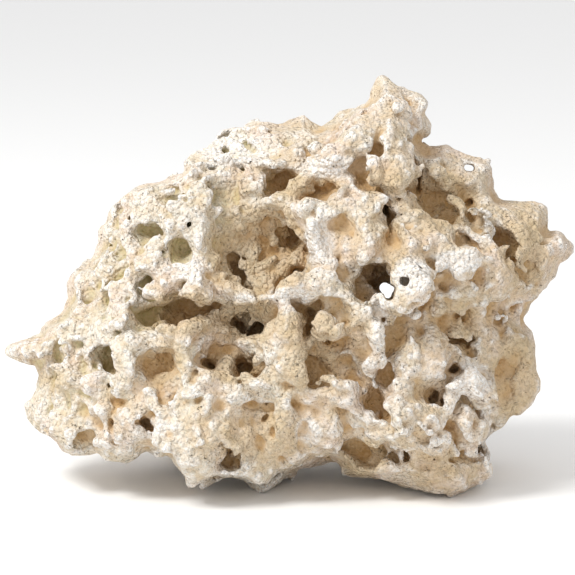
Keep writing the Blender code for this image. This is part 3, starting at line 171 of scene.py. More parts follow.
class Rock:
    """The stone as a field on a grid of points `step` millimetres apart."""

    def __init__(self, step):
        self.step = step
        self.shape = tuple(int(v) for v in np.ceil((GRID_HIGH - GRID_LOW) / step) + 1)
        self.axes = [GRID_LOW[i] + np.arange(self.shape[i]) * step for i in range(3)]
        self.inside = self.outline_distance()
        self.worn_inside = self.inside
        for axis in (0, 1, 0, 1):
            self.worn_inside = box_mean(self.worn_inside, axis, round(NOTCH_REACH / step))
        across, up, near = np.meshgrid(*self.axes, indexing="ij", sparse=True)
        bend = [self.wander(seed) for seed in (11, 12, 13)]
        self.across = (across + bend[0]).astype(np.float32)
        self.up = (up + bend[1]).astype(np.float32)
        self.near = (near + bend[2]).astype(np.float32)
        self.off_rim = np.abs(near - self.rim_depth()[:, :, None])
        self.field = self.boulder()
        self.find_face()

    def noise(self, wavelength, seed):
        """Smooth random field of about unit size, the same at any grid step."""
        knots = np.floor((GRID_HIGH - GRID_LOW + 4) / wavelength).astype(int) + 5
        values = np.random.default_rng(seed).standard_normal(knots).astype(np.float32)
        weights = [spline_weights(self.shape[i], self.step, wavelength) for i in range(3)]
        values = values[: weights[0].shape[1], : weights[1].shape[1], : weights[2].shape[1]]
        out = np.tensordot(weights[0], values, (1, 0))
        out = np.einsum("ju,auk->ajk", weights[1], out, optimize=True)
        return np.matmul(out, weights[2].T) / NOISE_SPREAD

    def wander(self, seed):
        """Shift of every form from its drawn place, so that none keeps a regular edge."""
        return sum(size * self.noise(wavelength, seed + 10 * i)
                   for i, (wavelength, size) in enumerate(WANDER))

    def outline_distance(self):
        """Distance in from the front view's outline, negative outside it."""
        across, up = np.meshgrid(self.axes[0], self.axes[1], indexing="ij")
        nearest = np.full(across.shape, 1e9)
        inside = np.zeros(across.shape, bool)
        for (x0, y0), (x1, y1) in zip(OUTLINE, OUTLINE[1:] + OUTLINE[:1]):
            ex, ey = x1 - x0, y1 - y0
            t = np.clip(((across - x0) * ex + (up - y0) * ey) / (ex * ex + ey * ey), 0, 1)
            nearest = np.minimum(nearest, np.hypot(across - x0 - t * ex, up - y0 - t * ey))
            if y0 != y1:
                inside ^= ((y0 > up) != (y1 > up)) & (across < ex * (up - y0) / ey + x0)
        return np.where(inside, nearest, -nearest)

    def rim_depth(self):
        """How near the outline's own edge lies: it wanders, and is nearer low down."""
        wander = RIM_WANDER * self.noise(70, 31)[:, :, self.shape[2] // 2]
        return wander + RIM_LEAN * (VIEW_CENTRE[1] - self.axes[1][None, :])

    def trim_to_outline(self):
        """Nothing shows beyond the outline, which is only reached near the depth of its edge."""
        away = np.clip((self.off_rim - RIM_BAND) / TRIM_REACH, 0, 1)
        rim = away * (2 + 5 * np.abs(self.noise(22, 62))) - self.inside[:, :, None] + 0.5 * self.noise(5, 61)
        self.field = soft_max(self.field, rim.astype(np.float32), 2)

    def boulder(self):
        """The outline filled out into a body, deepest low down in the middle, whose sides fall away in
        front of its edge and behind it and lose the outline's notches there."""
        up = self.axes[1][None, :, None]
        front = FRONT_DEPTH[0] - FRONT_DEPTH[1] * up
        back = BACK_DEPTH[0] - BACK_DEPTH[1] * up
        depth = np.where(self.near > 0, front, back)
        away = np.clip((self.off_rim - RIM_BAND) / FALL_REACH, 0, 1)
        inset = self.inside[:, :, None] * (1 - away) + self.worn_inside[:, :, None] * away
        inset = inset + 1 - away * (RIM_FALL + SIDE_SWELL * self.noise(28, 35))
        x = np.clip(1 - inset / EDGE_ROUNDING, 0, None)
        y = self.near / depth
        outer = np.sqrt(x * x + y * y) + 1e-6
        slope = np.sqrt((x / (EDGE_ROUNDING * outer)) ** 2 + (y / (depth * outer)) ** 2) + 1e-4
        return ((outer - 1) / slope).astype(np.float32)

    def find_face(self):
        """How near the front surface lies at each point of the front view."""
        solid = self.field < 0
        last = self.shape[2] - 1 - np.argmax(solid[:, :, ::-1], axis=2)
        face = self.axes[2][last]
        face[~solid.any(axis=2)] = 0
        for _ in range(3):
            ring = sum(np.roll(face, shift, axis) for axis in (0, 1) for shift in (1, -1))
            face = (face + ring) / 5
        self.face = face

    def grid_index(self, point):
        index = np.round((np.array(point) - GRID_LOW[: len(point)]) / self.step).astype(int)
        return tuple(np.clip(index, 0, np.array(self.shape[: len(point)]) - 1))

    def depth_of(self, across, up, proud, from_middle):
        return proud if from_middle else float(self.face[self.grid_index((across, up))]) + proud

    def window(self, low, high):
        first = np.clip(np.floor((np.array(low) - GRID_LOW) / self.step).astype(int), 0, None)
        last = np.minimum(np.ceil((np.array(high) - GRID_LOW) / self.step).astype(int) + 1, self.shape)
        return tuple(slice(int(p), int(q)) for p, q in zip(first, np.maximum(first, last)))

    def bent(self, point):
        """Where a point lies once the forms' edges have wandered: it keeps its drawn place."""
        at = self.grid_index(point[:3])
        return (self.across[at], self.up[at], self.near[at]) + tuple(point[3:])

    def ball_field(self, where, centre, radii, turn):
        """An ellipsoid, turned anticlockwise in the front view."""
        middle = self.bent(centre)
        across = self.across[where] - middle[0]
        up = self.up[where] - middle[1]
        c, s = math.cos(math.radians(turn)), math.sin(math.radians(turn))
        return ellipsoid_field(across * c + up * s, up * c - across * s, self.near[where] - middle[2], radii)

    def rod_field(self, where, start, end):
        """A tapered rod with round ends."""
        start, end = self.bent(start), self.bent(end)
        run = [q - p for p, q in zip(start, end)]
        off = [grid[where] - p for grid, p in zip((self.across, self.up, self.near), start)]
        t = sum(o * e for o, e in zip(off, run[:3])) / (sum(e * e for e in run[:3]) + 1e-9)
        t = np.clip(t, 0, 1)
        return np.sqrt(sum((o - t * e) ** 2 for o, e in zip(off, run[:3]))) - (start[3] + t * run[3])

    def ball(self, grow, centre, radii, turn, soft):
        reach = max(radii) + FORM_MARGIN + soft
        where = self.window([c - reach for c in centre], [c + reach for c in centre])
        form = self.ball_field(where, centre, radii, turn)
        old = self.field[where]
        self.field[where] = soft_min(old, form, soft) if grow else soft_max(old, -form, soft)

    def rod(self, grow, points, soft, from_middle):
        placed = [(a, u, self.depth_of(a, u, proud, from_middle), r) for a, u, proud, r in points]
        for start, end in zip(placed, placed[1:]):
            reach = max(start[3], end[3]) + FORM_MARGIN + soft
            low = [min(start[i], end[i]) - reach for i in range(3)]
            high = [max(start[i], end[i]) + reach for i in range(3)]
            where = self.window(low, high)
            form = self.rod_field(where, start, end)
            old = self.field[where]
            self.field[where] = soft_min(old, form, soft) if grow else soft_max(old, -form, soft)

    def lump(self, across, up, proud, radii, turn=0, soft=3, from_middle=False):
        self.ball(True, (across, up, self.depth_of(across, up, proud, from_middle)), radii, turn, soft)

    def pit(self, across, up, proud, radii, turn=0, soft=1.2, from_middle=False):
        self.ball(False, (across, up, self.depth_of(across, up, proud, from_middle)), radii, turn, soft)

    def lumps(self, *forms):
        """Each form is across, up, proud and radii, then its turn and softness where it has them."""
        for form in forms:
            self.lump(*form)

    def pits(self, *forms):
        for form in forms:
            self.pit(*form)

    def ridge(self, points, soft=3, from_middle=False):
        self.rod(True, points, soft, from_middle)

    def groove(self, points, soft=1.2, from_middle=False):
        self.rod(False, points, soft, from_middle)

    def ridges(self, soft, *rows):
        for points in rows:
            self.ridge(points, soft)

    def tunnel(self, across, up, radius):
        """A small hole that goes straight through along the view."""
        where = self.window((across - 20, up - 20, GRID_LOW[2]), (across + 20, up + 20, GRID_HIGH[2]))
        a, u = np.meshgrid(self.axes[0][where[0]] - across, self.axes[1][where[1]] - up, indexing="ij")
        bore = radius - np.hypot(a, u)[:, :, None] + 0.5 * self.noise(7, 71)[where]
        self.field[where] = soft_max(self.field[where], bore.astype(np.float32), 1)

    def scatter(self, cell, sizes, share, lump_share, seed, behind):
        """A pit or a lump in some cells of a jittered grid, wherever the surface passes; the larger ones only
        `behind` the front by that much, because the forms of the front are drawn one by one."""
        rng = np.random.default_rng(seed)
        counts = np.ceil((GRID_HIGH - GRID_LOW) / cell).astype(int)
        for place in np.ndindex(*counts):
            draws = rng.random(9)
            point = GRID_LOW + (np.array(place) + draws[:3]) * cell
            if (point > GRID_HIGH).any() or draws[3] > share:
                continue
            radius = sizes[0] + (sizes[1] - sizes[0]) * draws[4] ** 2
            at = self.grid_index(point)
            if abs(self.field[at]) > 0.55 * radius or point[2] > self.face[at[:2]] - behind:
                continue
            radii = radius * (0.7 + 0.6 * draws[5:8])
            grow = draws[8] < lump_share
            self.ball(grow, point, tuple(radii), 360 * draws[4], 2.5 if grow else 1.6)


def masses(rock):
    # blocks of the lower front
    rock.lumps(
        (-38, 36, -4, (25, 24, 20), 8, 6), (-13, 28, -6, (17, 19, 18), 0, 5),
        (16, 36, -4, (22, 23, 18), 0, 6), (62, 38, -8, (34, 15, 20), -10, 5),
        (68, 17, -6, (36, 12, 18), -8, 4), (-76, 34, -6, (16, 17, 18), 0, 6),
        (-104, 36, -6, (12, 14, 14), 0, 5),
    )
    # shoulder of the upper left, spur and right-hand ridge
    rock.lump(-50, 138, -8, (24, 36, 20), 15, soft=9)
    rock.ridge([(52, 200, -2, 14), (46, 178, 0, 15), (34, 150, 0, 12)], soft=8)
    rock.ridge([(60, 165, 2, 9), (66, 114, 4, 11), (64, 96, 0, 9)], soft=8)
    rock.lump(86, 112, -3, (20, 15, 13), -25, soft=7)
    # the long recess, from the arch down to the low wall
    rock.pits(
        (-12, 124, 4, (24, 22, 29), -15, 5), (2, 122, 3, (14, 15, 27), 0, 3),
        (-20, 92, 4, (22, 13, 25), -4, 4), (-50, 95, 4, (24, 8.5, 17), 3, 3),
        (-26, 70, 3, (19, 10, 17), 4, 4), (24, 71, 5, (17, 18, 10), 10, 4), (12, 88, 2, (9, 9, 10), 0, 3),
    )
    # broad hollows of the two ends
    rock.pits(
        (-60, 68, 3, (13, 12, 7), 0, 4), (-91, 67, 3, (14, 11, 8), 0, 3), (-113, 64, 3, (7, 14, 6), 0, 3),
        (113, 129, 4, (8, 15, 14), 24, 3), (116, 62, 1, (11, 17, 9), 0, 4),
        (71, 156, 5, (9, 17, 12), 30, 4), (92, 152, 6, (14, 10, 12), 40, 4), (57, 82, 4, (6, 12, 8), 0, 3),
        (79, 91, 3, (12, 9, 7), 15, 4),
    )
    # undercut below the lower right ledge
    rock.groove([(31, 26, 1, 2.6), (38, 27.5, 0, 3), (49, 27, 0, 3), (53, 24, 0, 2.4), (57, 21.5, 1, 1.8)])
    rock.groove([(62, 23, 1, 1.6), (70, 23, 1, 2), (78, 20.5, 1, 2), (84, 20, 1, 2)])


def upper_left(rock):
    rock.ridge([(-36, 172, -2, 8), (-40, 152, 0, 8), (-40, 128, 1, 7), (-39, 108, 0, 6)], soft=5)
    rock.ridge([(-30, 182, -5, 7), (-10, 184, -7, 8), (14, 186, -8, 8)], soft=5)
    rock.ridges(
        4,
        [(-70, 152, -2, 6), (-74, 138, 0, 5), (-72, 120, 0, 5), (-76, 108, 0, 5)],
        [(-86, 142, -3, 6), (-88, 124, -2, 5), (-88, 106, -2, 5), (-80, 94, 0, 5)],
        [(-66, 117, 1, 5), (-52, 115, 1, 5), (-42, 112, 0, 5)],
    )
    rock.ridge([(-54, 126, 1, 4), (-51, 137, 2, 4.5), (-50, 146, 1, 4)], soft=3)
    rock.ridge([(-100, 112, -1, 5), (-99, 98, -1, 5), (-102, 86, -1, 5)], soft=4)
    rock.lump(-28, 158, -3, (13, 15, 9), soft=4)
    rock.pit(-29, 160, 3, (9, 11, 5.5), soft=3)
    rock.pit(-36, 146, 1, (4, 5, 3), soft=2)
    # two olive pits, and the small ones round them
    rock.pits(
        (-63.5, 134.5, -1, (7.6, 6.6, 9), -6), (-58.3, 134, -7, (3, 4.4, 9)),
        (-50, 125.5, 3, (7, 4.8, 5.6), -10), (-46, 125, -1, (2.4, 3.6, 7)), (-57.5, 124, 0, (1.8, 1.6, 6)),
    )
    rock.groove([(-68.3, 125, 0, 1), (-66, 123.5, -1, 1.3), (-62.6, 122.6, -1, 1.1)])
    rock.pits(
        (-46.5, 139.5, 4, (7, 4.4, 6), -6), (-61.5, 145, 0, (1.6, 2.4, 7)), (-56, 152, 3, (5, 3.8, 5)),
    )
    rock.groove([(-50.4, 149, -1, 1.4), (-47.2, 151.6, -2, 1.2)])
    rock.pits(
        (-80, 147.5, 0, (2.6, 3.4, 7)), (-75, 143, 0, (1.8, 2, 6)), (-84.5, 127, 0, (1.8, 2.8, 8)),
        (-81, 123, 1, (5, 3.2, 7)), (-81, 112.5, 2, (6.5, 7.5, 7), -35), (-95, 104, 1, (3, 4.6, 7)),
        (-91.5, 107, 0, (1.6, 2, 6)), (-87, 101.5, 1, (3.4, 2.8, 6)), (-92, 117, 1, (4, 4, 6)),
        (-57, 158, 0, (5, 3, 5)), (-27, 182, 0, (3, 2.2, 5), 25), (-27, 174.5, 0, (4.5, 2.2, 4)),
        (-16, 178, 0, (4, 3, 4)), (-44, 166, 1, (4, 3, 4)),
    )
    rock.groove([(-20.5, 168, -1, 2), (-17.5, 164, -2, 2.6), (-15.5, 161, -2, 1.8)])
    rock.pits(
        (-86.3, 91.6, -2, (2.8, 1.4, 9)), (-90, 87, 0, (2.4, 3.2, 7)), (-97.5, 86.5, 0, (3.4, 3.2, 6)),
    )
    # pit with a lump in it, above the left end of the long recess
    rock.pit(-67, 105.5, 5, (8, 7.6, 15))
    rock.pit(-62, 108, -2, (3.6, 3.6, 13))
    rock.lump(-63, 101.5, 1, (3, 2.8, 4), 10, soft=1.5)
    rock.groove([(-54, 109, -1, 1.2), (-50, 109.8, -2, 1.5), (-46.5, 108, -1, 1.1)])
    # arched hole in the smooth wall
    rock.pits(
        (-23, 117.5, -3, (5.4, 9, 10), 8), (-20.5, 111, -2, (5, 6, 7), 20),
        (-21.5, 114.5, -4, (4.6, 7.5, 9), 12), (-21, 117, -9, (1.8, 3.2, 9)),
    )


def middle(rock):
    # lobed lumps and the ridge that close the dome above
    rock.ridge([(-15, 162, 1, 4.5), (-14.5, 154, 3, 5.5), (-15, 147, 0, 5)], soft=2)
    rock.lumps(
        (0.5, 151.5, 3, (6.4, 4.6, 7), 0, 2), (7, 145, 2, (5, 6, 6), -20, 2),
        (-6, 168, 1, (12, 3.6, 8), 4, 2),
    )
    rock.ridge([(-4, 149, -1, 4.5), (5, 144, 1, 4), (12.5, 138.5, 3, 4.6), (19, 131, 4, 5),
                (22, 118, 4, 5)], soft=2.5)
    rock.pits(
        (-2, 159.5, 0, (8.4, 5.4, 10), 12), (-5, 155, -1, (4, 4.6, 9)), (5, 161, -4, (4.5, 4.5, 12), 20),
    )
    # black pockets of the recess
    rock.pit(8, 131.5, -2, (8, 7.5, 15), -35)
    rock.groove([(0, 138, -2, 1.8), (5, 136.5, -3, 3), (11, 132.5, -4, 3.6), (14, 127.5, -4, 3),
                 (14, 124, -4, 2)])
    rock.pit(10.5, 115, -3, (7, 3.2, 14), -6)
    rock.groove([(-8, 127, 0, 1.1), (-4, 125.5, 0, 1.3), (-1, 126, 0, 1)])
    rock.pit(-6, 141, 0, (1.6, 1.4, 5))
    rock.ridge([(-6, 118, 0, 4), (2, 121.5, 0, 3), (9, 121, 0, 3)], soft=3)
    rock.ridge([(-12, 108, -1, 4), (-2, 108, -1, 4)], soft=4)
    # the long hollow: one smooth band with black slits along its lower edge
    rock.pits(
        (-49, 96.5, 3, (22, 7, 17), 5, 2), (-57, 91, 3, (17, 8, 16), 0, 2),
        (-64, 90.5, 3, (8, 9, 14), 18, 2), (-53, 99.5, 0, (3, 1.4, 4)),
    )
    rock.lump(-43.5, 86, 4, (4, 4.4, 6), soft=1.5)
    rock.groove([(-60.5, 92.5, -12, 1.8), (-56, 91, -13, 2.4), (-51.5, 91, -12, 1.8)])
    rock.groove([(-47, 92, -12, 1.6), (-44, 93, -13, 2), (-38.5, 92.6, -12, 1.8)])
    rock.pit(-58.5, 84.5, -3, (3.4, 1.8, 7))
    # white lumps that hang above the black pocket
    rock.lump(-17.5, 102, 4, (5, 4, 7), soft=1.5)
    rock.lump(-9.5, 101, 4, (4.6, 3.6, 6), soft=1.5)
    rock.groove([(-26, 89.5, -3, 1.8), (-22.5, 85, -5, 3), (-18.5, 82.5, -6, 3.2), (-14, 82.5, -5, 2)])
    rock.groove([(-16, 96, -2, 2), (-13.5, 91, -3, 2.4)])
    # lip, knob and tongue that bound it below
    rock.ridge([(-73, 86, 0, 3.5), (-69, 79, 1, 3.6), (-60, 77.5, 1, 3.6), (-52, 79, 2, 3.6),
                (-46, 83, 3, 4)], soft=2.5)
    rock.ridge([(-37, 88, 1, 4), (-31, 86, 1, 4), (-26.5, 80, 1, 4), (-21, 77, 0, 3.4)], soft=2.5)
    rock.ridge([(-20, 77, -1, 3.4), (-4, 79, -1, 4.6), (3, 84, 0, 5), (2, 96, 0, 4)], soft=4)


def arch_and_column(rock):
    # tongue that hangs down to the left
    rock.ridge([(40, 178, -1, 9), (29, 168, 4, 9.6), (19.5, 161.5, 6, 8.6), (12, 158, 7, 6.4),
                (8.5, 155.5, 6, 4.8)], soft=1.5)
    rock.lump(24, 144, 6, (9, 8, 9), -15, soft=2)
    rock.lump(13, 145, 6, (6, 4.6, 7), soft=2)
    rock.ridge([(30, 150, 1, 4), (24, 144, 4, 4.5), (17, 136, 4, 4.5)], soft=3)
    rock.groove([(3.5, 154.5, 2, 1.8), (8, 150, 2, 1.8), (15, 149.4, 2, 1.8), (22, 151.5, 2, 1.8),
                 (29, 155.5, 2, 1.8), (32, 150, 1, 1.6)])
    # smooth slab that overhangs the great hole
    rock.ridge([(37, 153, 0, 7), (41, 142, 4, 9.5), (42, 129, 5, 9), (43, 123, 6, 6.5)], soft=2.5)
    rock.lump(30, 131, 1, (9, 13, 9), soft=4)
    rock.lump(26, 139.5, 3, (9, 7, 8), soft=3)
    # knob that ends in a point over the brown valley, and the black crevice below it
    rock.ridge([(56, 176, 2, 7), (60, 166, 5, 8), (58, 158, 5, 6), (54, 153, 3, 4)], soft=2)
    rock.lump(48, 161, 4, (6, 6, 7), soft=2)
    rock.pits(
        (52.5, 165.5, 5, (2.4, 2.2, 4)), (41.5, 163.5, 3, (6.5, 6.5, 8), 0, 2),
        (49.5, 175, 2, (3, 4.6, 6.5)),
    )
    rock.groove([(37.5, 156.5, 4, 2), (43, 155, 3, 2.6), (49, 152.5, 2, 3), (52.5, 148, 1, 3.6),
                 (54, 142, 0, 3.6), (52.5, 138, 0, 2.6)], soft=0.8)
    rock.pit(53.6, 146.5, 6, (4, 6.8, 26), 8)
    rock.pit(55, 143, 6, (3.2, 4.8, 24))
    rock.groove([(55, 141.5, -2, 1.4), (62, 142.3, -1, 1.1)])
    rock.pit(50.5, 137.5, 1, (4, 2.2, 11), 20)
    rock.pit(66, 165, 1, (4, 10, 12), 12)
    rock.groove([(60, 153, 0, 1.4), (62, 156, 0, 1.8), (68, 160, 0, 2)])
    # spire
    rock.ridge([(60, 202, -1, 6), (58, 192, 1, 7), (54, 184, 1, 7)], soft=3)
    rock.ridge([(68, 204, -1, 4), (70, 196, 0, 3.6), (73, 188, -1, 3.6)], soft=2)
    rock.pits(
        (66.5, 198.5, 1, (2.8, 4.8, 12), 8), (63, 180.5, 1, (5, 2.8, 12), 12), (42, 194, 0, (2.8, 4, 7)),
        (39, 186, 0, (2.6, 3.4, 5)), (53, 196, 1, (2.4, 2, 4)), (14, 175, 0, (4.5, 3.2, 4), -40),
        (12, 184, 0, (4, 2.6, 4)), (3, 178, 0, (3.4, 4, 3)), (26, 181, 0, (2.4, 2.6, 3)),
        (24, 190, 0, (3, 2, 3)), (-6, 183, 0, (3.5, 2.5, 3)),
    )


def great_hole(rock):
    # funnel, and the way right through to the back of the rock
    rock.pits(
        (45.5, 109.5, -3, (10, 9.2, 26), 3, 1.5), (42, 108, -1, (7.5, 8, 14), 0, 1.5),
        (50, 112, -18, (8, 7, 24), 0, 2),
    )
    rock.pit(52, 107, -70, (13, 11, 30), soft=2, from_middle=True)
    rock.pit(53, 106, -30, (9, 9, 34), soft=2, from_middle=True)
    # shelf to the left of it
    rock.ridge([(5, 104, 3, 5), (12, 106, 5, 6.5), (23, 107, 3, 6.5), (33, 103, 1, 6)], soft=2.5)
    rock.pits(
        (15, 95, 0, (8, 4, 14), -6), (11, 95.5, -2, (3, 2.6, 12)), (19.5, 95, -2, (3.4, 2.4, 12), -25),
        (17, 87, 1, (6, 8, 9), 0, 2),
    )
    # white pillar on its right
    rock.ridge([(60, 117, 1, 4), (64, 109, 4, 5.6), (68, 102, 4, 6), (58, 95, 3, 5),
                (53, 88, 2, 4)], soft=2.5)
    rock.pit(52.5, 113, 2, (5.6, 7, 26), 6)
    rock.pit(52.5, 106, 1, (5.6, 5.6, 24))
    rock.groove([(35, 113, 0, 1.6), (38, 116.5, -1, 1.9), (43, 116.5, -2, 1.6)])
    rock.pits(
        (68, 114.5, 1, (5.8, 3.8, 6), -4), (81.5, 106.5, -1, (3.4, 2.5, 10), -20),
        (92, 115, 0, (2, 1.8, 5)),
    )
    rock.lump(84, 119, -1, (12, 7, 8), -20, soft=4)
    # flap and notches under the shelf
    rock.ridge([(33, 99, 1, 5), (40, 93, 2, 4.6), (48.5, 86, 5, 4.6), (49.5, 78, 5, 4.2), (48, 68, 4, 4),
                (46, 60, 3, 4)], soft=2)
    rock.lump(27, 87, 5, (8, 4.6, 7), -4, soft=1.5)
    rock.lump(20, 83.5, 5, (3.4, 3.4, 5), soft=1.5)
    rock.pit(25.5, 78.5, 0, (5.6, 2.6, 11), -8)
    rock.groove([(36.3, 92, 0, 1.1), (39, 88.5, -1, 2), (42.5, 85, -1, 1.8)])
    rock.ridge([(2, 98, -1, 4), (3.5, 84, 0, 4), (6, 72, 0, 4), (12, 60, 1, 4)], soft=3)
    rock.groove([(13, 68.5, 0, 1.3), (16.5, 66, 0, 1.5)])


def right_side(rock):
    # two long slanting crests, each above a lower slope
    rock.ridge([(70, 178, 0, 4), (75, 170, 2, 3.6), (80, 162, 3, 3.6), (85, 151, 4, 4), (95, 142, 4, 4),
                (104, 135, 4, 4), (109, 127, 4, 4), (113, 117, 3, 4.6), (119, 109, 1, 5)], soft=2.5)
    rock.ridge([(65, 143, 2, 3.4), (73, 137, 4, 3.6), (79, 133, 4, 3.6), (94, 134, 4, 3.6),
                (100, 128, 3, 3.6), (104, 121, 2, 4)], soft=2.5)
    rock.ridge([(66, 128, 1, 5), (80, 126, 3, 5.5), (95, 121, 2, 6), (106, 112, 1, 6)], soft=5)
    rock.ridge([(104, 112, 0, 6), (120, 106, 0, 6), (128, 108, -1, 6)], soft=6)
    rock.ridge([(80, 176, 0, 6), (94, 172, 0, 6), (104, 166, -1, 6), (106, 156, -1, 5)], soft=4)
    rock.ridge([(112, 147, 0, 5.5), (124, 146, -1, 6), (130, 136, -1, 6), (130, 122, -1, 6)], soft=4)
    rock.lump(140, 127, -1, (7.5, 9, 11), soft=2)
    rock.groove([(131.5, 138, 0, 2), (132.5, 128, 0, 3), (132, 121, 0, 2)], soft=2)
    rock.groove([(108, 131, -4, 2), (110.5, 125, -5, 2.6), (114, 118, -5, 2.2)])
    rock.pits(
        (125, 114, 1, (6.4, 4.6, 7), 0, 2), (97.6, 143, 14, (5, 5.4, 20)),
        (96.5, 147, 6, (3.4, 2.6, 22), -15),
    )
    rock.groove([(81.5, 165.5, 0, 1.4), (84, 163.5, -1, 1.6), (87.5, 165, 0, 1.2)])
    rock.pits(
        (84, 141, 0, (4.6, 2.8, 6), -25, 2), (78, 129, 0, (6, 1.6, 4), -6),
        (100, 111, 4, (3.6, 7.5, 6), 0, 2),
    )
    rock.groove([(128.5, 112.5, 0, 1.1), (128.7, 107, 0, 1.1)])
    rock.pits(
        (111.5, 89.5, 0, (3.6, 5, 7)), (88.8, 92, 0, (3, 2.8, 9)), (86.8, 94.5, -1, (1.2, 1, 6)),
        (118, 96, 0, (3, 3, 4)),
    )
    rock.groove([(100.5, 63, -1, 1.6), (105.5, 61, -1, 1.3)])
    rock.pits(
        (54.5, 63.5, 3, (5.8, 7.6, 9.5), -15), (67.8, 55.3, -1, (2.6, 3.6, 13), -15),
        (74, 53, 3, (4.6, 6, 7)), (76.5, 50, 2, (3, 3.7, 17)), (81.3, 51, 2, (3.4, 3.9, 17)),
        (97.3, 44.7, 0, (3, 4.2, 9)),
    )
    rock.groove([(42.5, 57, 0, 2.4), (47, 54, -2, 3.2), (49, 48, -2, 2.8), (51, 44.5, -3, 2.6),
                 (52, 41, -2, 2)])
    # white block, and the ridges between the pits
    rock.ridge([(87, 57, 8, 5), (95, 57.5, 10, 6.4), (102, 54, 9, 5)], soft=1.5)
    rock.ridge([(86, 54, 4, 4), (84, 46, 3, 4)], soft=2)
    rock.ridges(
        3,
        [(88, 46, 1, 4), (92, 40, 1, 4.5), (94, 34, 0, 5)],
        [(58, 51, 3, 5), (62, 42, 2, 6), (76, 38, 1, 5)],
        [(60, 56, 1, 4), (63, 66, 1, 4), (66, 76, 1, 4)],
    )
    rock.ridge([(78, 100, 1, 4), (73, 90, 1, 4), (77, 80, 1, 4), (80, 68, 1, 4), (74, 62, 1, 4)], soft=4)
    rock.ridge([(114, 84, -1, 5), (122, 74, -1, 5), (124, 62, -1, 5), (122, 50, -2, 6)], soft=4)
    rock.ridge([(96, 30, -1, 5), (100, 18, -1, 5)], soft=3)
    rock.lump(36, 52, 4, (6, 6, 6), soft=2)
    # slot above the white block, and the pits on either side of it
    rock.pits(
        (91.5, 79, 8, (10.5, 3.4, 24), 1), (93.5, 76.8, 8, (4.8, 5.2, 24), -20),
        (115, 127, 2, (6, 13, 8.5), 24, 2), (116, 120, 3, (4.5, 10, 11), 24, 2),
        (84.5, 77.2, 1, (2.2, 2.4, 10)), (88.8, 66, 1, (3.4, 2.4, 13), -12),
        (86.5, 32.5, 7, (4.4, 5.2, 19), 20), (46, 51.5, 3, (3.4, 7, 13), 25), (51, 43.5, 1, (2.6, 4, 14)),
        (38.5, 22.5, 5, (13, 7.6, 15), -6, 1.5),
    )


def lower_left(rock):
    rock.ridges(
        3,
        [(-136, 74, 0, 4), (-128, 75, 0, 6), (-119, 74, -1, 8)],
        [(-78, 90, 0, 4.5), (-74.5, 80, 1, 5), (-75, 66, 1, 5), (-80, 56, 1, 5)],
        [(-91, 58, 2, 4), (-89, 46, 3, 4.5), (-88, 32, 2, 4.5), (-87, 23, 0, 4)],
        [(-106, 84, 1, 4), (-106.5, 68, 1, 3.5), (-104, 58, 1, 4), (-92, 55, 1, 4)],
        [(-50, 82, 1, 4), (-47, 70, 2, 4), (-46, 58, 3, 5)],
        [(-100, 82, 1, 4), (-90, 81, 2, 4), (-80, 82, 1, 4)],
    )
    rock.lump(-73, 40, 0, (10, 16, 11), soft=5)
    # pit with a black slot under its upper edge
    rock.pit(-84.5, 67, 3, (7, 9.4, 10))
    rock.pit(-97.5, 66.5, 3, (6.8, 7.2, 8))
    rock.groove([(-92, 73, -3, 1.7), (-87, 73, -6, 2), (-82, 72, -6, 1.7), (-79.3, 69.5, -4, 1.5)])
    rock.pits(
        (-113.5, 77, 2, (5, 3.2, 5)), (-110.5, 77, 0, (1.7, 2.6, 8)), (-112, 62, 3, (5.8, 11, 7.5), -6),
        (-113, 50, 0, (7.6, 2.4, 5)), (-117, 45.5, 2, (7.6, 5, 7), 25), (-114.5, 50.5, -2, (2.4, 1.6, 9)),
        (-107, 50.7, -1, (2.2, 1.3, 9)), (-98.5, 52, 1, (3.6, 2.8, 5)), (-98, 45, 1, (3.4, 4, 6)),
        (-97.5, 30, 3, (5.4, 6.2, 6.5)), (-93.5, 30, 0, (1.2, 2.6, 6)),
    )
    # smooth hollow in the middle of the left
    rock.pit(-62, 68, 4, (12, 9, 9.5), -8, soft=2)
    rock.pit(-65, 68, 0, (1.6, 2.4, 5))
    rock.ridge([(-63, 54, 2, 4), (-60, 42, 2, 4), (-58, 28, 1, 4.5)], soft=2)
    rock.pit(-57, 51, 5, (5.8, 6.4, 7))
    rock.groove([(-54.6, 48.5, 0, 0.9), (-55, 44.5, -1, 1)])
    rock.groove([(-53.5, 52.5, 0, 0.9), (-52, 54, 0, 0.9)])
    rock.ridge([(-67, 50, -2, 6), (-66, 42, -1, 7), (-66, 33, -2, 6)], soft=3)
    rock.pit(-66.7, 37.5, 6, (4.8, 1.5, 14), -8)
    rock.pit(-64, 26, 0, (3.4, 2.2, 10), -30)


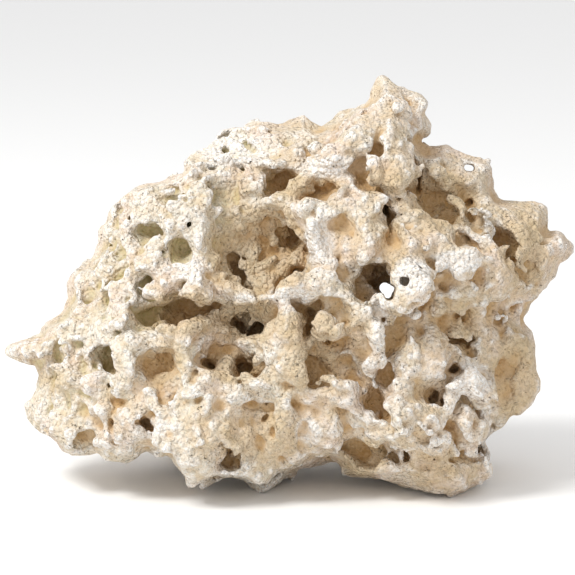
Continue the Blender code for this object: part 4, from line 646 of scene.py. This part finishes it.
def lower_middle(rock):
    # plateau block, with a black pit on either side of its tongue
    rock.ridge([(-45, 54, 2, 5), (-36, 56, 3, 5.5), (-26, 53, 2, 5)], soft=3)
    rock.pit(-29, 74, 1, (7.6, 3.4, 9))
    rock.groove([(-27, 74.5, -1, 1.6), (-22.5, 74.5, -3, 2.2), (-19, 73, -4, 2.4)])
    rock.ridge([(-32, 61, 2, 4), (-26.5, 65, 3, 4), (-24.6, 69, 3, 3)], soft=1.2)
    rock.ridge([(-10, 61, 1, 4), (-4, 66, 2, 5), (3, 64, 2, 5), (9, 60, 2, 4)], soft=3)
    rock.ridge([(-22, 53, 2, 5), (-12, 54, 2, 5), (4, 54, 2, 5), (20, 55, 2, 5), (34, 56, 2, 5)], soft=3)
    # wedge between the blocks, wider below
    rock.pits(
        (-28.6, 29, 3, (2.4, 4.6, 20), 10), (-26.5, 24, 3, (4.2, 5.2, 22)), (-24, 19, -3, (6, 6.5, 15), 20),
        (-10, 31, 5, (12, 11, 8), 0, 3),
    )
    rock.ridge([(-27, 33, 1, 2.6), (-22.5, 27.5, 2, 2.8), (-21, 25, 1, 2.4)], soft=1.5)
    rock.ridge([(3, 50, 1, 4.5), (3, 36, 2, 5), (8, 24, 1, 5)], soft=3)
    rock.ridge([(26, 50, 1, 4.5), (26, 38, 2, 5), (27, 28, 1, 4.5)], soft=3)
    rock.pits(
        (15, 30, 2, (6, 8, 5), 0, 2), (-36, 67.6, -1, (4.8, 2.8, 14), -22), (-38.6, 69, -2, (2.4, 2.2, 12)),
        (-18, 67, 12, (8, 8.6, 32), 4), (-21, 87, 3, (4.4, 7, 19), 25), (-16, 83.2, 2, (6.4, 3.6, 18)),
        (-19, 85, 2, (5.4, 4.6, 18), -35), (17, 65, 3, (10, 11, 8), 0, 2), (27, 58.5, 2, (2, 2.6, 14), 30),
        (14, 67.5, -3, (1.4, 2.4, 6), 30),
    )
    rock.ridge([(-46, 12, -2, 5), (-36, 9, -2, 5)], soft=3)
    rock.ridge([(-12, 12, -2, 6), (-6, 9, -2, 5)], soft=3)
    rock.lump(99, 34, -2, (9, 10, 10), soft=4)
    rock.lump(60, 22, -5, (6, 5, 7), soft=2)
    rock.groove([(38, 29, 1, 2.6), (50, 25.5, 2, 3), (60, 22.5, 2, 3), (72, 21, 2, 2.8), (86, 20, 2, 2)])


def back_and_underside(rock):
    # feet that stand out of sight behind the front ones
    rock.lump(-38, 24, -46, (18, 16, 20), soft=10, from_middle=True)
    rock.lump(80, 28, -40, (24, 20, 22), soft=10, from_middle=True)
    # arches below
    rock.pit(16, 4, 0, (17, 14, 80), soft=6, from_middle=True)
    rock.pit(-28, 2, -10, (12, 11, 34), soft=5, from_middle=True)
    rock.pit(40, 0, -46, (24, 18, 26), soft=6, from_middle=True)
    # great hollows of the back
    rock.pit(-40, 96, -84, (34, 24, 22), 10, soft=6, from_middle=True)
    rock.pit(30, 140, -76, (24, 28, 20), -20, soft=6, from_middle=True)
    rock.pit(92, 84, -72, (24, 24, 20), soft=6, from_middle=True)
    rock.pit(4, 60, -86, (22, 18, 18), soft=5, from_middle=True)
    rock.pit(-92, 60, -54, (22, 18, 20), soft=5, from_middle=True)
    rock.ridge([(-76, 120, -52, 12), (-20, 132, -66, 12), (20, 100, -74, 13),
                (60, 60, -72, 12)], soft=8, from_middle=True)


def carve_stone(step, weathering):
    """The finished field. `weathering` lists (wavelength, height) of the fine relief, in millimetres."""
    rock = Rock(step)
    for region in (masses, upper_left, middle, arch_and_column, great_hole, right_side, lower_left,
                   lower_middle):
        region(rock)
        rock.find_face()
    back_and_underside(rock)
    for cell, sizes, share, lump_share, seed, behind in SCATTER:
        rock.scatter(cell, sizes, share, lump_share, seed, behind)
    for seed, (wavelength, height) in enumerate(weathering, 41):
        rock.field += (height * (np.abs(rock.noise(wavelength, seed)) - 0.8)).astype(np.float32)
    for across, up, radius in THROUGH_HOLES:
        rock.tunnel(across, up, radius)
    rock.trim_to_outline()
    return rock


def stand_up(points):
    """Turns grid millimetres of the front view into metres of the standing rock."""
    across, up, near = points[:, 0], points[:, 1], points[:, 2]
    shrink = 1 - near / VIEW_DISTANCE
    x = (across - VIEW_CENTRE[0]) * shrink
    w = VIEW_CENTRE[1] + (up - VIEW_CENTRE[1]) * shrink
    c, s = math.cos(VIEW_TILT), math.sin(VIEW_TILT)
    x_y_z = (x - BASE_CENTRE[0], w * s - near * c - BASE_CENTRE[1], w * c + near * s - BASE_DROP)
    return np.stack(x_y_z, axis=1) / 1000


def level_base(rock):
    """Cuts the feet level where the rock rests, and closes the field at the edge of its grid."""
    up, near = np.meshgrid(rock.axes[1], rock.axes[2], indexing="ij")
    points = np.stack([np.zeros(up.size), up.ravel(), near.ravel()], axis=1)
    height = stand_up(points)[:, 2].reshape(up.shape) * 1000
    rock.field = np.maximum(rock.field, -height[None].astype(np.float32))
    rock.field = np.pad(rock.field[1:-1, 1:-1, 1:-1], 1, constant_values=5.0)
    rock.field[rock.field == 0] = 1e-4


def shifted(field, offset):
    """A view of the field with one grid point less each way, starting at the offset."""
    return field[tuple(slice(o, n - 1 + o) for o, n in zip(offset, field.shape))]


def join_diagonals(field):
    """Fills each place where stone meets stone only along an edge or at a corner of the grid, which would
    leave a surface that touches itself."""
    corners = [(i, j, k) for i in (0, 1) for j in (0, 1) for k in (0, 1)]
    for _ in range(40):
        filled = 0
        for b, c in ((0, 1), (0, 2), (1, 2)):
            offsets = []
            for db, dc in ((0, 0), (0, 1), (1, 0), (1, 1)):
                slices = [slice(None)] * 3
                slices[b] = slice(db, field.shape[b] - 1 + db)
                slices[c] = slice(dc, field.shape[c] - 1 + dc)
                offsets.append(tuple(slices))
            solid = [field[o] < 0 for o in offsets]
            for one, other, gap in ((0, 3, 1), (1, 2, 0)):
                rest = [i for i in range(4) if i not in (one, other)]
                bad = solid[one] & solid[other] & ~solid[rest[0]] & ~solid[rest[1]]
                field[offsets[gap]][bad] = JUST_INSIDE
                filled += int(bad.sum())
        solid = {corner: shifted(field, corner) < 0 for corner in corners}
        total = sum(part.astype(np.int8) for part in solid.values())
        for corner in corners[:4]:
            far = tuple(1 - v for v in corner)
            beside = (corner[0], corner[1], 1 - corner[2])
            for bad, gap in ((solid[corner] & solid[far] & (total == 2), beside),
                             (~solid[corner] & ~solid[far] & (total == 6), corner)):
                shifted(field, gap)[bad] = JUST_INSIDE
                filled += int(bad.sum())
        if not filled:
            return


def skin(rock):
    """Points and four-sided faces of the field's surface: one point in each grid cell that it crosses."""
    field, shape = rock.field, rock.field.shape
    solid = field < 0
    cells, crossings, faces = [], [], []
    for axis in range(3):
        lower = [slice(None)] * 3
        upper = [slice(None)] * 3
        lower[axis], upper[axis] = slice(0, -1), slice(1, None)
        start = np.argwhere(solid[tuple(lower)] != solid[tuple(upper)])
        end = start.copy()
        end[:, axis] += 1
        value, next_value = field[tuple(start.T)], field[tuple(end.T)]
        crossing = start.astype(float)
        crossing[:, axis] += value / (value - next_value)
        ring = []
        for second, third in ((0, 0), (-1, 0), (-1, -1), (0, -1)):
            cell = start.copy()
            cell[:, (axis + 1) % 3] += second
            cell[:, (axis + 2) % 3] += third
            ring.append((cell[:, 0] * shape[1] + cell[:, 1]) * shape[2] + cell[:, 2])
            cells.append(ring[-1])
            crossings.append(crossing)
        ring = np.stack(ring, axis=1)
        inward = value >= 0
        ring[inward] = ring[inward][:, ::-1]
        faces.append(ring)
    names, index = np.unique(np.concatenate(cells), return_inverse=True)
    crossings = np.concatenate(crossings)
    count = np.bincount(index)
    points = np.stack([np.bincount(index, crossings[:, i]) / count for i in range(3)], axis=1)
    return points * rock.step + GRID_LOW, np.searchsorted(names, np.concatenate(faces))


def largest_shell(points, faces):
    """Drops loose crumbs and sealed bubbles."""
    label = np.arange(len(points))
    while True:
        lowest = label[faces].min(axis=1)
        joined = label.copy()
        np.minimum.at(joined, faces.ravel(), np.repeat(lowest, 4))
        joined = joined[joined]
        if (joined == label).all():
            break
        label = joined
    kept = label == np.bincount(label).argmax()
    faces = faces[kept[faces[:, 0]]]
    return points[kept], (np.cumsum(kept) - 1)[faces]


def blurred(values, reach):
    """Mean over a ball-like neighbourhood, from three box means along each axis."""
    out = values.astype(np.float32)
    for axis in range(3):
        for _ in range(3):
            out = box_mean(out, axis, reach)
    return out


def sample(grid, points, step):
    """Values of a grid at points, blended from the eight around each."""
    at = np.clip((points - GRID_LOW) / step, 0, np.array(grid.shape) - 1.001)
    first = at.astype(int)
    part = at - first
    out = np.zeros(len(points), np.float32)
    for corner in np.ndindex(2, 2, 2):
        weight = np.prod(np.where(corner, part, 1 - part), axis=1)
        out += (weight * grid[tuple((first + corner).T)]).astype(np.float32)
    return out


def thinned(points, faces, triangles):
    """The same surface in fewer triangles, kept finest where it bends most."""
    mesh = bpy.data.meshes.new("full_surface")
    mesh.from_pydata(points.tolist(), [], faces.tolist())
    full = bpy.data.objects.new("full_surface", mesh)
    bpy.context.scene.collection.objects.link(full)
    collapse = full.modifiers.new("collapse", "DECIMATE")
    collapse.ratio = triangles / (2 * len(faces))
    evaluated = full.evaluated_get(bpy.context.evaluated_depsgraph_get())
    result = bpy.data.meshes.new_from_object(evaluated)
    bpy.data.objects.remove(full)
    bpy.data.meshes.remove(mesh)
    return result


def inside(areas, points):
    """1 in the middle of any of the areas of the front, falling to 0 at their rims and on the back."""
    share = np.zeros(len(points))
    for across, up, wide, high, strength in areas:
        rim = ((points[:, 0] - across) / wide) ** 2 + ((points[:, 1] - up) / high) ** 2
        share = np.maximum(share, strength * np.clip(1 - rim, 0, 1))
    return share * (points[:, 2] > FRONT_FROM)


def add_layer(mesh, name, values):
    mesh.attributes.new(name, "FLOAT", "POINT").data.foreach_set("value", values.astype(np.float32))


def build_stone():
    rock = carve_stone(GRID_STEP, WEATHERING)
    level_base(rock)
    join_diagonals(rock.field)
    mesh = thinned(*largest_shell(*skin(rock)), TRIANGLES)
    mesh.name = "stone"
    points = np.empty(3 * len(mesh.vertices))
    mesh.vertices.foreach_get("co", points)
    points = points.reshape(-1, 3)
    solid = rock.field < 0
    # Hollow measures that the colour uses as painted shade in the hollows, with real stain, and as painted
    # highlight on the crests.
    for name, reach in HOLLOW_REACH.items():
        share = blurred(solid, max(1, round(reach / GRID_STEP / 1.7)))
        add_layer(mesh, name, sample(share, points, GRID_STEP))
    # Listed areas of painted shade, with brown stain.
    add_layer(mesh, "shade_and_stain", inside(SHADE_AND_STAIN_AREAS, points))
    # Listed areas of painted highlight, with pale chalky stone.
    add_layer(mesh, "highlight_and_chalk", inside(HIGHLIGHT_AND_CHALK_AREAS, points))
    placed = stand_up(points)
    placed[:, 2] = np.maximum(placed[:, 2], 0)
    mesh.vertices.foreach_set("co", placed.ravel())
    mesh.shade_smooth()
    mesh.update()
    stone = bpy.data.objects.new("stone", mesh)
    bpy.context.scene.collection.objects.link(stone)
    return stone


class Nodes:
    """Short names for the nodes of one material."""

    def __init__(self, name):
        self.material = bpy.data.materials.new(name)
        self.material.use_nodes = True
        self.tree = self.material.node_tree
        self.shader = self.tree.nodes["Principled BSDF"]
        self.place = self.tree.nodes.new("ShaderNodeTexCoord").outputs["Object"]

    def plug(self, value, socket):
        if isinstance(value, bpy.types.NodeSocket):
            self.tree.links.new(value, socket)
        else:
            socket.default_value = value

    def noise(self, size, detail=3.0, rough=0.55, warp=0.0, offset=(0, 0, 0)):
        """Noise with features of about `size` metres, mostly between 0.3 and 0.7."""
        node = self.tree.nodes.new("ShaderNodeTexNoise")
        self.plug(self.moved(offset), node.inputs["Vector"])
        node.inputs["Scale"].default_value = 1 / size
        node.inputs["Detail"].default_value = detail
        node.inputs["Roughness"].default_value = rough
        node.inputs["Distortion"].default_value = warp
        return node.outputs["Fac"]

    def cells(self, size, feature="F1", offset=(0, 0, 0)):
        node = self.tree.nodes.new("ShaderNodeTexVoronoi")
        node.feature = feature
        self.plug(self.moved(offset), node.inputs["Vector"])
        node.inputs["Scale"].default_value = 1 / size
        if feature == "SMOOTH_F1":
            node.inputs["Smoothness"].default_value = 0.4
        return node.outputs["Distance"]

    def moved(self, offset):
        node = self.tree.nodes.new("ShaderNodeVectorMath")
        node.operation = "ADD"
        self.plug(self.place, node.inputs[0])
        node.inputs[1].default_value = offset
        return node.outputs[0]

    def math(self, kind, one, other=0.0, clamp=False):
        node = self.tree.nodes.new("ShaderNodeMath")
        node.operation = kind
        node.use_clamp = clamp
        self.plug(one, node.inputs[0])
        self.plug(other, node.inputs[1])
        return node.outputs[0]

    def span(self, value, low, high, to_low=0.0, to_high=1.0):
        """Stretches low..high of a value to 0..1, smoothly, and clamps it."""
        node = self.tree.nodes.new("ShaderNodeMapRange")
        node.interpolation_type = "SMOOTHSTEP"
        self.plug(value, node.inputs["Value"])
        for name, number in zip(("From Min", "From Max", "To Min", "To Max"), (low, high, to_low, to_high)):
            node.inputs[name].default_value = number
        return node.outputs["Result"]

    def mix(self, share, one, other):
        node = self.tree.nodes.new("ShaderNodeMix")
        node.data_type = "RGBA"
        node.clamp_factor = True
        self.plug(share, node.inputs[0])
        self.plug(one, node.inputs[6])
        self.plug(other, node.inputs[7])
        return node.outputs[2]

    def attribute(self, name):
        node = self.tree.nodes.new("ShaderNodeAttribute")
        node.attribute_name = name
        return node.outputs["Fac"]

    def along(self, direction):
        node = self.tree.nodes.new("ShaderNodeVectorMath")
        node.operation = "DOT_PRODUCT"
        self.plug(self.place, node.inputs[0])
        node.inputs[1].default_value = direction
        return node.outputs["Value"]

    def bump(self, height, distance, strength, below=None):
        node = self.tree.nodes.new("ShaderNodeBump")
        node.inputs["Distance"].default_value = distance
        node.inputs["Strength"].default_value = strength
        self.plug(height, node.inputs["Height"])
        if below:
            self.plug(below, node.inputs["Normal"])
        return node.outputs["Normal"]


CREAM = (0.80, 0.76, 0.68, 1)
CHALK_AND_HIGHLIGHT = (0.93, 0.92, 0.90, 1)
BLUSH = (0.78, 0.67, 0.59, 1)
# Painted shade: the colour that the right-hand side darkens towards, away from the key light.
RIGHT_SIDE_SHADE = (0.71, 0.58, 0.46, 1)
KHAKI = (0.60, 0.51, 0.35, 1)
TAN = (0.64, 0.45, 0.23, 1)
BROWN = (0.43, 0.25, 0.085, 1)
OLIVE = (0.64, 0.60, 0.34, 1)
MOSS_AND_SHADE = (0.40, 0.33, 0.14, 1)
SPECK = (0.62, 0.45, 0.28, 1)
EARTH_AND_SHADE = (0.58, 0.44, 0.25, 1)


def stone_look():
    n = Nodes("coral_limestone")
    # How enclosed each point is, at three reaches. These darken the hollows as painted shade together with
    # real stain; the open crests, read from the smallest reach, get painted highlight.
    pit = n.span(n.attribute("pit"), 0.50, 0.78)
    hollow = n.span(n.attribute("hollow"), 0.49, 0.76)
    cave_shade_and_stain = n.span(n.attribute("cave_shade_and_stain"), 0.46, 0.72)
    # Open crests, where the stone is least enclosed: chalky stone, and painted highlight.
    crest_chalk_and_highlight = n.span(n.attribute("pit"), 0.50, 0.30)
    patches = n.span(n.noise(0.030, 3), 0.42, 0.62)
    blotches = n.span(n.noise(0.007, 4, offset=(3, 1, 2)), 0.40, 0.66)
    mottle = n.span(n.noise(0.0015, 3, offset=(5, 2, 1)), 0.38, 0.62)
    colour = n.mix(patches, CREAM, BLUSH)
    # Painted shade: the stone darkens towards its right-hand side.
    colour = n.mix(n.span(n.along((1, 0, 0)), -0.02, 0.13, 0.0, 0.55), colour, RIGHT_SIDE_SHADE)
    earthy = n.span(n.noise(0.019, 3, offset=(9, 2, 5)), 0.44, 0.60)
    colour = n.mix(n.math("MULTIPLY", earthy, 0.50), colour, KHAKI)
    colour = n.mix(n.math("MULTIPLY", blotches, 0.35), colour, TAN)
    ragged = n.math("MULTIPLY", n.math("SUBTRACT", n.noise(0.008, 4, 0.6, offset=(6, 1, 8)), 0.5), 0.9)
    # Listed areas of the front darkened as painted shade with brown stain, with ragged edges.
    shade_and_stain = n.span(n.math("ADD", n.attribute("shade_and_stain"), ragged), 0.12, 0.55)
    # Listed areas of the front whitened as painted highlight with pale chalk, with ragged edges.
    highlight_and_chalk = n.span(n.math("ADD", n.attribute("highlight_and_chalk"), ragged), 0.20, 0.60)
    # Painted highlight: the open crests are whitened towards chalk, except in the areas of painted shade.
    crest_chalk_and_highlight = n.math("SUBTRACT", crest_chalk_and_highlight, n.math("MULTIPLY", shade_and_stain, 0.6), clamp=True)
    colour = n.mix(n.math("MULTIPLY", crest_chalk_and_highlight, 0.80), colour, CHALK_AND_HIGHLIGHT)
    colour = n.mix(n.math("MULTIPLY", shade_and_stain, 0.62), colour, EARTH_AND_SHADE)
    colour = n.mix(n.math("MULTIPLY", highlight_and_chalk, 0.75), colour, CHALK_AND_HIGHLIGHT)
    # Painted shade in the hollows, partly real tan, brown and olive stain: the colour darkens the more
    # enclosed each point is.
    hollow_shade_and_stain = n.math("MULTIPLY", hollow, n.math("ADD", n.math("MULTIPLY", blotches, 0.5), 0.45), clamp=True)
    leftward = n.span(n.along((-1, 0, 0.8)), 0.122, 0.145)
    hollow_shade_and_stain_colour = n.mix(leftward, TAN, OLIVE)
    deep_shade_and_stain_colour = n.mix(leftward, BROWN, MOSS_AND_SHADE)
    colour = n.mix(n.math("MULTIPLY", hollow_shade_and_stain, 0.80), colour, hollow_shade_and_stain_colour)
    colour = n.mix(n.math("MULTIPLY", cave_shade_and_stain, 0.70), colour, deep_shade_and_stain_colour)
    colour = n.mix(n.math("MULTIPLY", pit, 0.35), colour, deep_shade_and_stain_colour)
    pores = n.span(n.cells(0.0026, offset=(1, 4, 2)), 0.26, 0.10)
    pores = n.math("MULTIPLY", pores, n.span(n.noise(0.012, 2, offset=(7, 7, 1)), 0.42, 0.60))
    colour = n.mix(n.math("MULTIPLY", n.math("SUBTRACT", 1.0, mottle), 0.38), colour, SPECK)
    colour = n.mix(n.math("MULTIPLY", pores, 0.30), colour, BROWN)
    n.plug(colour, n.shader.inputs["Base Color"])
    n.shader.inputs["Roughness"].default_value = 0.92
    n.shader.inputs["Specular IOR Level"].default_value = 0.25
    grain = n.math("MULTIPLY", n.cells(0.0021, "SMOOTH_F1", (2, 3, 1)), -1.0)
    rough = n.span(n.attribute("hollow"), 0.70, 0.46, 0.4, 1.0)
    coarse = n.math("MULTIPLY", n.noise(0.0042, 4, 0.62, offset=(4, 4, 4)), rough)
    fine = n.math("MULTIPLY", n.math("ADD", grain, n.math("MULTIPLY", n.noise(0.0011, 2, 0.5), 0.5)), rough)
    normal = n.bump(coarse, 0.0016, 1.0)
    normal = n.bump(fine, 0.0021, 1.0, normal)
    normal = n.bump(n.math("MULTIPLY", pores, -1.0), 0.0009, 0.8, normal)
    n.plug(normal, n.shader.inputs["Normal"])
    return n.material


def plain(name, colour, roughness):
    material = bpy.data.materials.new(name)
    material.use_nodes = True
    shader = material.node_tree.nodes["Principled BSDF"]
    shader.inputs["Base Color"].default_value = colour
    shader.inputs["Roughness"].default_value = roughness
    return material


FLOOR_HALF = 9.0
FLOOR_COLOUR = (0.93, 0.93, 0.93, 1)
LIGHTS = (
    ("key", (-1.05, -0.75, 1.6), 0.6, 29.5, (1.0, 1.0, 0.98)),
    ("fill", (-0.4, -2.2, 0.5), 1.6, 3.0, (1.0, 0.94, 0.87)),
)
LIGHT_TARGET = (0, 0, 0.1)
SKY = (1.0, 1.0, 1.0, 1)
SKY_STRENGTH = 0.86


def add_floor():
    corners = [(x * FLOOR_HALF, y * FLOOR_HALF, 0) for x, y in ((-1, -1), (1, -1), (1, 1), (-1, 1))]
    mesh = bpy.data.meshes.new("floor")
    mesh.from_pydata(corners, [], [(0, 1, 2, 3)])
    mesh.materials.append(plain("pale_floor", FLOOR_COLOUR, 0.9))
    floor = bpy.data.objects.new("floor", mesh)
    bpy.context.scene.collection.objects.link(floor)


def add_lights():
    for name, place, size, power, colour in LIGHTS:
        light = bpy.data.lights.new(name, "AREA")
        light.size = size
        light.energy = power
        light.color = colour
        lamp = bpy.data.objects.new(name, light)
        lamp.location = place
        lamp.rotation_euler = (Vector(LIGHT_TARGET) - Vector(place)).to_track_quat("-Z", "Y").to_euler()
        bpy.context.scene.collection.objects.link(lamp)
    world = bpy.data.worlds.new("studio")
    world.use_nodes = True
    background = world.node_tree.nodes["Background"]
    background.inputs["Color"].default_value = SKY
    background.inputs["Strength"].default_value = SKY_STRENGTH
    bpy.context.scene.world = world


def add_camera():
    """The front view: level with the rock's width, looking down on it by VIEW_TILT."""
    c, s = math.cos(VIEW_TILT), math.sin(VIEW_TILT)
    height = VIEW_CENTRE[1] * c + VIEW_DISTANCE * s - BASE_DROP
    back = VIEW_CENTRE[1] * s - VIEW_DISTANCE * c - BASE_CENTRE[1]
    data = bpy.data.cameras.new("camera")
    data.sensor_width = SENSOR_WIDTH
    data.lens = CAMERA_LENS
    data.clip_end = 50
    camera = bpy.data.objects.new("camera", data)
    camera.location = (-BASE_CENTRE[0] / 1000, back / 1000, height / 1000)
    camera.rotation_euler = (math.pi / 2 - VIEW_TILT, 0, 0)
    bpy.context.scene.collection.objects.link(camera)
    bpy.context.scene.camera = camera


stone = build_stone()
stone.data.materials.append(stone_look())
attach(stone, "root")
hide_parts("rock")
add_floor()
add_lights()
add_camera()
bpy.context.scene.view_settings.view_transform = "Standard"
